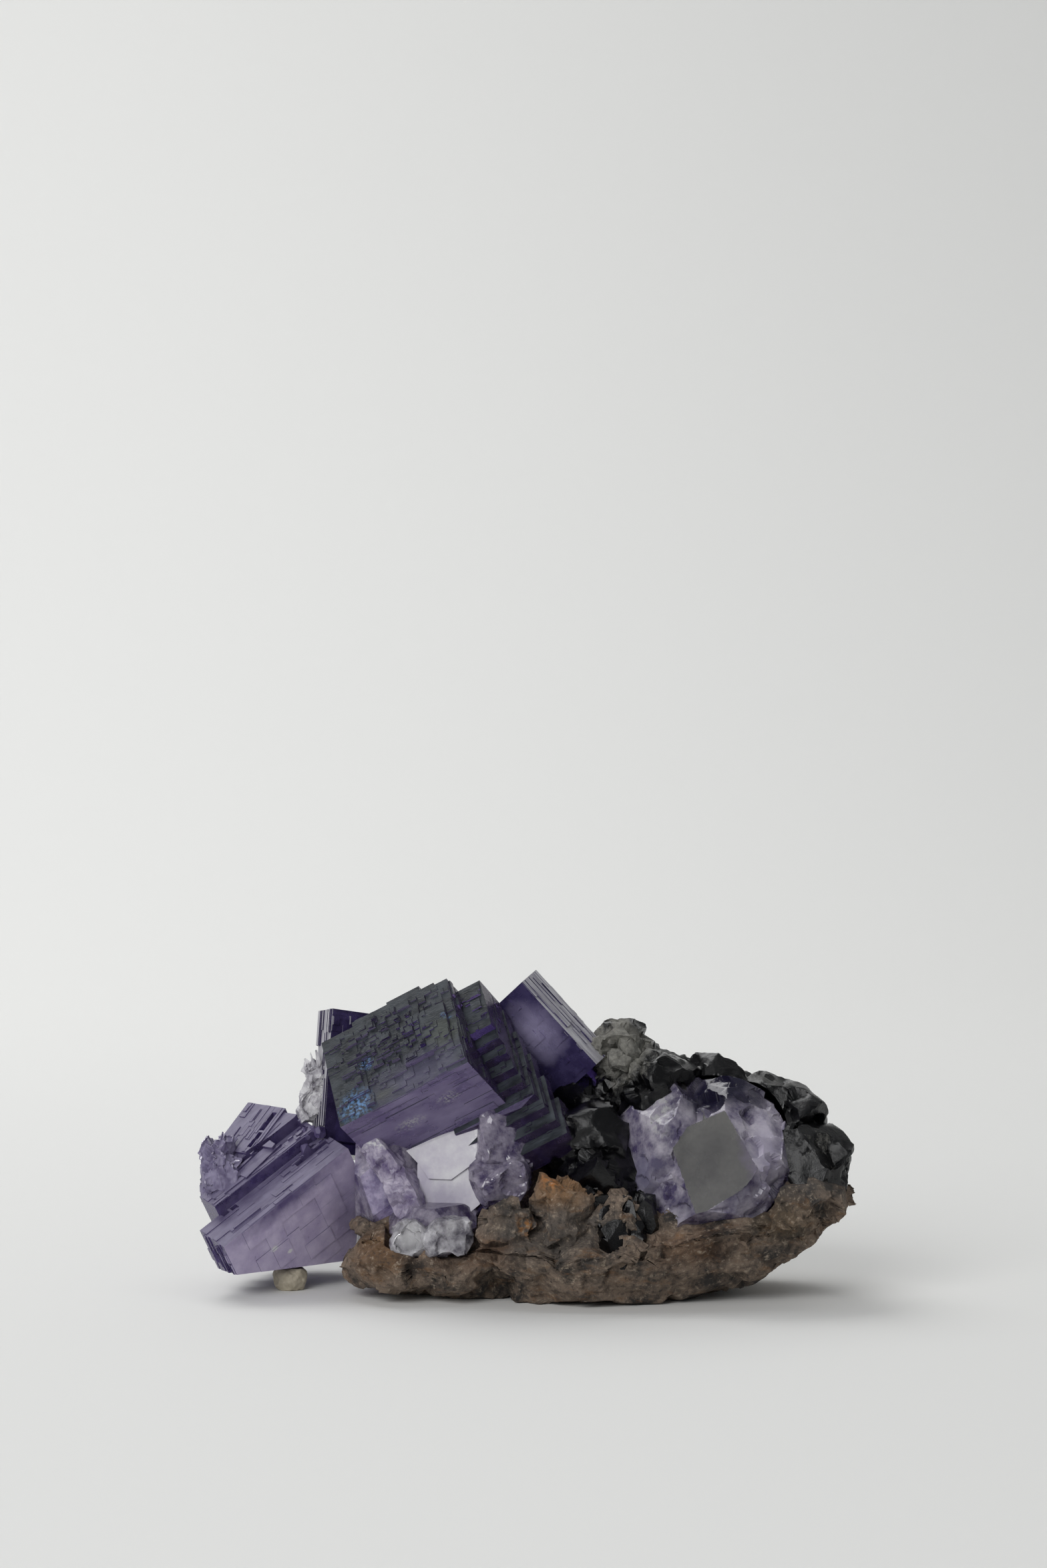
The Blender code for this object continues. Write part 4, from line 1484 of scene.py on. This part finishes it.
@dataclass
class LeftStack:
    """The left crystal: a band along its lowest edge, terraces behind it and a rough left flank.

    The two highest terraces fan out: each is turned in the plane of the crystal's front.
    """

    stand: Stand = Stand((-45.2, -4.0, 8.4), (-71.9, -32.8, 28.6))
    length: float = 24.6
    floor: float = 3.7
    split: Triple = (-25.2, 6.0, 17.0)
    fan: Pair = (9.0, 21.0)
    grooves: tuple[tuple[Pair, Pair, float], ...] = (
        ((6.4, 17.6), (9.7, 10.5), 1.4),
        ((17.4, 23.0), (8.0, 10.4), 1.2),
        ((17.5, 23.6), (3.6, 4.6), 0.9),
        ((4.0, 5.2), (5.4, 6.4), 0.8),
        ((5.6, 6.8), (5.2, 6.2), 0.8),
    )
    slots: tuple[tuple[Pair, Pair, float], ...] = (
        ((11.6, 15.0), (13.4, 14.1), 1.6),
        ((15.4, 19.4), (13.4, 14.3), 1.6),
    )

    def breaks(self) -> tuple[Break, ...]:
        """Where the crystal is broken off: below, at the split to the right, and behind.

        Returns:
            The planes of the breaks.
        """
        return (
            ((0.0, 0.0, self.floor), (0.0, 0.0, -1.0)),
            (self.split, (1.0, -0.1, -0.14)),
            ((-40.0, 25.5, 15.0), (-0.25, 1.0, -0.1)),
        )

    def coarse(self) -> tuple[Growth, Growth, Growth]:
        """The crystal's main shapes: the band with its first terrace, and the two that fan out.

        Returns:
            Three growths, from the lowest up.
        """
        lower = Growth(self.stand, self.breaks())
        lower.add((0.0, 0.0, 0.0), (self.length, 26.0, 6.5))
        lower.add((3.7, -1.9, 6.3), (self.length - 0.9, 25.0, 10.5))
        middle = Growth(self.stand.leaned(self.fan[0], (14.0, 0.0, 12.6)), self.breaks())
        middle.add((6.9, -2.6, 9.6), (20.9, 22.0, 15.0))
        middle.add((9.5, -2.3, 7.4), (20.0, 22.0, 9.8))
        highest = Growth(self.stand.leaned(self.fan[1], (20.6, 0.0, 19.8)), self.breaks())
        highest.add((10.4, -3.1, 12.6), (20.6, 21.0, 19.8))
        highest.add((12.6, -2.8, 10.2), (20.0, 21.0, 12.8))
        return lower, middle, highest

    def rough_parts(self) -> list[Body]:
        """The crumbled end of the band.

        Returns:
            The shards of it.
        """
        draw = random.Random(45)
        made: list[Body] = []
        for index in range(22):
            size = draw.uniform(0.4, 1.1)
            own = (draw.uniform(19.6, 24.2), draw.uniform(-1.6, 0.6), draw.uniform(4.6, 10.4))
            made.append(Shard(tuple(self.stand.matrix() @ Vector(own)), (size, size, size * 0.7),
                              turn=any_turn(draw), seed=490 + index))
        return made

    def build(self) -> bpy.types.Object:
        """The crystal with its ledges, grooves and step lines.

        Returns:
            The dressed piece.
        """
        lower, middle, highest = self.coarse()
        lower.scatter(Mosaic(Side.FRONT, (0.4, 0.2), (23.0, 10.2), 54, (3.0, 11.0), (0.3, 1.4),
                             (0.04, 0.16), 41))
        lower.scatter(Mosaic(Side.FRONT, (19.5, 3.0), (23.4, 9.0), 22, (0.5, 1.8), (0.5, 1.6),
                             (0.1, 0.4), 42))
        lower.scatter(Mosaic(Side.FOOT, (6.0, 0.5), (21.0, 14.0), 16, (3.0, 9.0), (2.0, 9.0),
                             (0.04, 0.14), 43))
        lower.scatter(Mosaic(Side.LEFT, (0.4, 0.3), (10.0, 6.2), 8, (1.0, 5.0), (0.3, 1.4),
                             (0.05, 0.2), 44))
        lower.scatter(Mosaic(Side.LEFT, (1.0, 0.4), (24.0, 6.2), 30, (1.0, 8.0), (0.3, 1.8),
                             (0.05, 0.2), 48))
        highest.scatter(Mosaic(Side.TOP, (10.8, -2.0), (20.2, 20.0), 30, (1.0, 6.0), (0.5, 4.0),
                               (0.05, 0.25), 49))
        middle.scatter(Mosaic(Side.FRONT, (7.2, 10.0), (20.6, 14.7), 26, (2.0, 9.0), (0.3, 1.2),
                              (0.03, 0.12), 46))
        highest.scatter(Mosaic(Side.FRONT, (10.8, 13.0), (20.2, 19.4), 26, (2.0, 7.0), (0.3, 1.4),
                               (0.03, 0.12), 47))
        cuts = []
        for growth, grooves in ((lower, self.grooves), (highest, self.slots)):
            for (left, right), (low, high), deep in grooves:
                base = growth.under(Side.FRONT, ((left + right) / 2, (low + high) / 2))
                level = -growth.reach(base, Side.FRONT)
                cuts.append(Block(growth.stand, (left, level - 2.0, low), (right, level + deep, high)))
        bodies = lower.blocks + middle.blocks + highest.blocks + self.rough_parts()
        piece = grow_together("fluorite_left_stack_crystal", bodies, cuts)
        # its other faces, groove and step walls among them, take the darker finish of painted shade
        dress(piece, SHADED_GROOVE_WALL.make(self.stand), [
            (self.stand.outward(Side.FRONT), FROSTED_FACE.make(self.stand)),
            (self.stand.outward(Side.FOOT), FROSTED_FOOT.make(self.stand))],
            self.stand, ((-1.0, -1.0, -1.0), (self.length, 27.0, 1.0)))
        return piece


@dataclass
class RightCrystal:
    """The right crystal: three flat faces that meet at one corner, and large fractures round them."""

    centre: Triple = (26.0, 1.0, 21.5)
    half: Triple = (13.6, 13.0, 12.2)
    turn: Triple = (-32.7, -15.7, -18.0)
    window: float = 5.1
    side: float = 13.0
    foot: float = 12.2
    fractures: tuple[Flat, ...] = (
        ((-0.76, -0.60, 0.25), 5.8),
        ((-0.45, -0.50, 0.74), 5.6),
        ((0.35, -0.55, 0.76), 8.6),
        ((-0.70, -0.60, -0.38), 11.2),
    )
    shoulder: Lump = Lump(
        (19.6, 5.2, 22.4), (7.1, 8.0, 10.4), seed=29, roughness=0.2, grain=4.0, detail=6,
        facets=20, facet_share=(0.93, 1.0),
        fractures=(((-0.76, -0.60, 0.25), 5.0), ((-0.45, -0.50, 0.74), 6.4),
                   ((-0.70, 0.05, 0.70), 6.9)),
        chips=(Chips(90, (0.6, 2.4), (0.04, 0.16), 97, flat=True),))

    def bodies(self) -> list[Lump]:
        """The crystal and the fractured shoulder at its left.

        Returns:
            The two lumps.
        """
        turn = turn_matrix(self.turn).to_3x3()
        flats = (
            (tuple(turn @ Vector(Side.FRONT.value)), self.window),
            (tuple(turn @ Vector(Side.RIGHT.value)), self.side),
            (tuple(turn @ Vector(Side.FOOT.value)), self.foot),
        )
        shells = Chips(30, (4.0, 10.0), (0.1, 0.35), 91, tilt=0.12)
        splits = Chips(300, (0.8, 3.6), (0.06, 0.28), 92, tilt=0.26, flat=True)
        whole = Lump(self.centre, self.half, flats=flats, fractures=self.fractures, seed=23,
                     squareness=2.3, roughness=0.2, grain=6.0, detail=7, facets=24,
                     facet_share=(0.965, 1.0), chips=(shells, splits), smooth_flats=True)
        return [whole, self.shoulder]

    def build(self) -> bpy.types.Object:
        """The crystal as one piece.

        Returns:
            The dressed piece.
        """
        stand = Stand(self.centre, self.turn)
        piece = grow_together("fluorite_right_crystal", self.bodies(), crease=20.0)
        dress(piece, CONCHOIDAL.make(stand), [(stand.outward(Side.FRONT), WINDOW.make(stand))])
        return piece


@dataclass
class SphaleriteCrust:
    """The black crust: a bed over the rock, and the crystals that stand out of it."""

    bed: Lump = Lump((17.0, 10.8, 18.0), (21.0, 11.0, 7.6), seed=31, squareness=3.0, roughness=0.8,
                     grain=4.0, detail=6, facets=60, facet_share=(0.78, 0.98),
                     chips=(Chips(500, (0.8, 3.6), (0.15, 0.6), 239, tilt=0.35, flat=True),),
                     relief=((0.15, 0.8),))
    crystals: tuple[Spot, ...] = (
        ((13.8, 14.0, 34.6), (5.4, 6.2, 5.8)),
        ((20.4, 11.0, 29.8), (7.4, 7.4, 6.0)),
        ((28.0, 12.0, 28.8), (7.6, 7.4, 5.6)),
        ((37.4, 7.0, 24.0), (7.6, 8.4, 5.8)),
        ((40.2, 2.5, 18.4), (7.6, 9.2, 7.6)),
        ((10.6, 8.0, 21.0), (7.4, 7.0, 9.0)),
        ((10.6, 2.0, 15.6), (7.4, 8.0, 7.2)),
        ((9.5, 14.0, 24.0), (6.5, 7.5, 6.0)),
        ((13.4, 13.0, 28.6), (4.6, 6.0, 4.6)),
        ((-4.0, 20.0, 24.0), (10.0, 8.0, 10.0)),
        ((33.0, 18.0, 22.0), (9.0, 7.5, 7.0)),
    )
    small_count: int = 280
    blade_count: int = 24
    small_size: Pair = (0.6, 2.3)

    def lumps(self) -> list[Body]:
        """The bed and the main crystals, each broken into facets and steps.

        Returns:
            The lumps.
        """
        made: list[Body] = [self.bed]
        for index, (centre, half) in enumerate(self.crystals):
            steps = Chips(100, (0.7, 3.0), (0.10, 0.45), 240 + index, tilt=0.35, flat=True)
            made.append(Lump(centre, half, turn=(17.0 * index, 23.0 * index, 31.0 * index),
                             seed=40 + index, squareness=4.0, roughness=0.4, grain=4.0, detail=5,
                             facets=16, facet_share=(0.74, 0.94), chips=(steps,),
                             relief=((0.08, 0.8),)))
        return made

    def small_crystals(self) -> list[Shard]:
        """Small crystals, each half sunk in a main one.

        Returns:
            The shards.
        """
        draw = random.Random(61)
        made = []
        for index in range(self.small_count):
            centre, half = self.crystals[index % len(self.crystals)]
            way = Vector((draw.gauss(0.0, 1.0), draw.gauss(-0.4, 1.0), draw.gauss(0.2, 1.0)))
            way.normalize()
            size = draw.uniform(*self.small_size) * draw.uniform(0.5, 1.0)
            at = [centre[i] + way[i] * (half[i] * 0.80 - size * 0.2) for i in range(3)]
            made.append(Shard(tuple(at), (size, size * 0.9, size * 0.7), turn=any_turn(draw),
                              seed=500 + index))
        return made

    def front_blades(self) -> list[Shard]:
        """Black blades that show through the rock's broken front.

        Returns:
            The shards.
        """
        draw = random.Random(88)
        made = []
        for index in range(self.blade_count):
            height = draw.uniform(7.5, 15.0)
            across = draw.uniform(10.5, 19.5) if index % 3 else draw.uniform(-6.0, 2.0)
            middle = (across, -8.9 + (height - 7.5) * 0.6, height)
            half = (draw.uniform(0.8, 2.4), draw.uniform(0.8, 1.6), draw.uniform(1.6, 4.0))
            turn = (draw.uniform(-40.0, 5.0), draw.uniform(-30.0, 30.0), draw.uniform(-45.0, 45.0))
            made.append(Shard(middle, half, turn=turn, edges=3, seed=900 + index, share=(0.62, 0.85)))
        return made

    def build(self) -> bpy.types.Object:
        """The crust as one piece, cut back from the crystals that grew against it.

        Returns:
            The dressed piece.
        """
        crystals = [PackedSolid(node) for node in CRYSTAL_NODES]
        bodies = self.lumps() + self.small_crystals() + self.front_blades()
        piece = grow_together("sphalerite_crust_visual", bodies, crystals, crease=12.0)
        dress(piece, FracturedSphalerite().make())
        return piece


@dataclass
class HostRock:
    """The host rock: a long lens with a worn top and a broken left end, and bladed knobs in front."""

    grit: tuple[Pair, ...] = ((0.14, 1.4), (0.10, 0.5))
    lens: Lump = Lump(
        (11.0, 5.0, 9.4), (40.0, 19.0, 11.4), turn=(0.0, -6.0, 0.0), seed=71, squareness=2.7,
        roughness=0.7, grain=9.0, detail=7, facets=60, facet_share=(0.95, 1.0),
        chips=(Chips(900, (0.8, 4.0), (0.06, 0.35), 93, tilt=0.25, flat=True),),
        flats=(
            ((0.0, 0.0, -1.0), 9.4),
            ((0.2, -0.80, -0.56), 15.5),
            ((-0.3, -0.76, -0.56), 16.5),
            ((-0.1, 0.8, -0.6), 17.5),
            ((-0.115, -0.45, 0.885), 7.45),
            ((0.64, 0.0, -0.77), 20.3),
            ((-0.87, -0.20, 0.45), 33.4),
        ))
    shoulder: Lump = Lump(
        (38.5, 0.5, 12.6), (11.4, 11.5, 6.6), turn=(0.0, -14.0, 0.0), seed=73, roughness=0.3,
        grain=6.0, detail=6, facets=16,
        chips=(Chips(160, (1.0, 4.0), (0.1, 0.4), 94, tilt=0.25, flat=True),),
        flats=(((0.2, -0.80, -0.56), 9.0), ((0.64, 0.0, -0.77), 5.2)))
    toe: Lump = Lump(
        (-16.2, 1.0, 5.4), (12.2, 9.5, 5.2), seed=75, roughness=0.4, facets=24,
        facet_share=(0.90, 1.0),
        chips=(Chips(160, (0.8, 3.4), (0.08, 0.4), 99, tilt=0.25, flat=True),),
        flats=(((-0.10, -0.1, -1.0), 5.0), ((-0.35, -0.75, -0.56), 8.4), ((-0.80, 0.0, 0.60), 9.4)))
    knobs: tuple[tuple[Triple, Triple, Triple], ...] = (
        ((5.2, -4.2, 13.4), (5.8, 5.8, 7.2), (10.0, 15.0, 25.0)),
        ((-2.4, -3.4, 11.0), (6.0, 5.4, 5.6), (0.0, -20.0, 10.0)),
        ((13.2, -4.0, 11.2), (5.6, 5.8, 5.9), (5.0, 10.0, -15.0)),
    )

    def bodies(self) -> list[Body]:
        """The lens, its right shoulder, its left toe and the knobs.

        Returns:
            The lumps.
        """
        broken = [replace(lump, relief=self.grit) for lump in (self.lens, self.shoulder, self.toe)]
        knobs = [
            Lump(centre, half, turn=turn, seed=77 + index, squareness=3.6, detail=6, facets=20,
                 facet_share=(0.76, 0.94), relief=((0.10, 0.6),),
                 chips=(Chips(200, (0.5, 2.6), (0.06, 0.35), 95 + index, tilt=0.3, flat=True),))
            for index, (centre, half, turn) in enumerate(self.knobs)]
        return broken + knobs

    def build(self) -> bpy.types.Object:
        """The rock as one piece, cut back from the clear crystals that grew on it.

        Returns:
            The dressed piece.
        """
        grown = [PackedSolid(node) for node in CRYSTAL_NODES]
        piece = grow_together("host_rock_visual", self.bodies(), grown, crease=30.0)
        dress(piece, IronStainedRock().make())
        return piece


@dataclass
class PuttyRest:
    """The ball of putty, pressed flat under the left crystal and on the table."""

    centre: Triple = (-36.0, 8.0, 1.7)
    half: Triple = (2.6, 2.4, 2.3)

    def build(self) -> bpy.types.Object:
        """The ball with its pressed creases.

        Returns:
            The dressed piece.
        """
        ball = Lump(self.centre, self.half, flats=(((0.0, 0.0, -1.0), 1.7), ((0.0, 0.0, 1.0), 1.68)),
                    seed=5, roughness=0.12, grain=1.6, detail=6,
                    chips=(Chips(14, (1.0, 2.2), (0.05, 0.16), 96),), relief=((0.10, 0.7),))
        piece = grow_together("putty_ball_visual", [ball], crease=60.0)
        dress(piece, RolledPutty().make())
        return piece


@dataclass(frozen=True)
class SoftBox:
    """A soft box: where it hangs, its width and height, its power and the point it faces."""

    name: str
    place: Triple
    size: Pair
    watts: float
    aim: Triple = (0.0, 0.0, 20.0)

    def hang(self) -> None:
        """Put the lamp in the scene."""
        data = bpy.data.lights.new(self.name, "AREA")
        data.shape = "RECTANGLE"
        data.size, data.size_y = (part * MM for part in self.size)
        data.energy = self.watts
        made = bpy.data.objects.new(self.name, data)
        made.location = Vector(self.place) * MM
        way = Vector(self.aim) - Vector(self.place)
        made.rotation_euler = way.to_track_quat("-Z", "Y").to_euler()
        bpy.context.scene.collection.objects.link(made)


@dataclass
class Studio:
    """A pale sweep, soft light from above and in front, and the camera at the photograph's angle."""

    half_width: float = 1800.0
    near: float = -1500.0
    bend: float = 420.0
    wall: float = 760.0
    top: float = 1700.0
    bend_steps: int = 24
    lamps: tuple[SoftBox, ...] = (
        SoftBox("soft_box_above", (-320.0, 440.0, 700.0), (560.0, 560.0), 3.2),
        SoftBox("soft_box_front", (-420.0, -760.0, 560.0), (700.0, 600.0), 5.4),
        SoftBox("soft_box_backdrop", (0.0, 100.0, 1250.0), (1600.0, 400.0), 1.8,
                (0.0, 760.0, 420.0)),
    )
    room_colour: str = "#e8ebee"
    room_strength: float = 0.26
    camera_place: Triple = (-0.6, -646.98, 114.48)
    pitch: float = -3.3
    lens: float = 100.0
    frame_height: float = 36.0

    def sweep(self) -> bpy.types.Object:
        """The floor that curves up into the backdrop.

        Returns:
            The sweep.
        """
        radius = self.wall - self.bend
        profile = [(self.near, 0.0), (self.bend, 0.0)]
        for step in range(1, self.bend_steps + 1):
            angle = math.radians(90.0 * step / self.bend_steps)
            profile.append((self.bend + radius * math.sin(angle), radius * (1 - math.cos(angle))))
        profile.append((self.wall, self.top))
        bm = bmesh.new()
        rows = [[bm.verts.new((x, y, z)) for y, z in profile]
                for x in (-self.half_width, self.half_width)]
        for i in range(len(profile) - 1):
            bm.faces.new((rows[0][i], rows[1][i], rows[1][i + 1], rows[0][i + 1]))
        made = new_object("studio_sweep", bm)
        made.data.shade_smooth()
        made.data.materials.append(MattCard().make())
        return made

    def light(self) -> None:
        """Hang the soft boxes and set the room's faint light."""
        for lamp in self.lamps:
            lamp.hang()
        world = bpy.data.worlds.new("studio_room")
        world.use_nodes = True
        room = world.node_tree.nodes["Background"]
        room.inputs["Color"].default_value = linear(self.room_colour)
        room.inputs["Strength"].default_value = self.room_strength
        bpy.context.scene.world = world

    def camera(self) -> None:
        """Set up the camera."""
        data = bpy.data.cameras.new("photo_camera")
        data.lens = self.lens
        data.sensor_fit = "VERTICAL"
        data.sensor_height = self.frame_height
        data.clip_start = 0.01
        made = bpy.data.objects.new("photo_camera", data)
        made.location = Vector(self.camera_place) * MM
        made.rotation_euler = (math.radians(90.0 + self.pitch), 0.0, 0.0)
        bpy.context.scene.collection.objects.link(made)
        bpy.context.scene.camera = made

    def build(self) -> None:
        """Everything around the specimen."""
        self.sweep()
        self.light()
        self.camera()
        bpy.context.scene.view_settings.view_transform = "Standard"
        log.info("studio: sweep, %d soft boxes and the camera", len(self.lamps))


def main() -> None:
    """Build every piece in order, and keep both boxes."""
    logging.basicConfig(level=logging.INFO, format="%(name)s: %(message)s")
    Studio().build()
    for crystal in (CentreCrystal(), BACK_LEFT, PALE_FLANK, BACK_RIGHT, FrontCrystals(), WING, BITS):
        settle(crystal.build(), "fluorite_centre_cluster")
    for crystal in (LeftStack(), LEFT_FLANK):
        settle(crystal.build(), "fluorite_left_stack")
    settle(RightCrystal().build(), "fluorite_right_cleaved")
    settle(SphaleriteCrust().build(), "sphalerite_crust")
    settle(HostRock().build(), "matrix_rock")
    settle(PuttyRest().build(), "putty_rest")


if __name__ == "__main__":
    main()
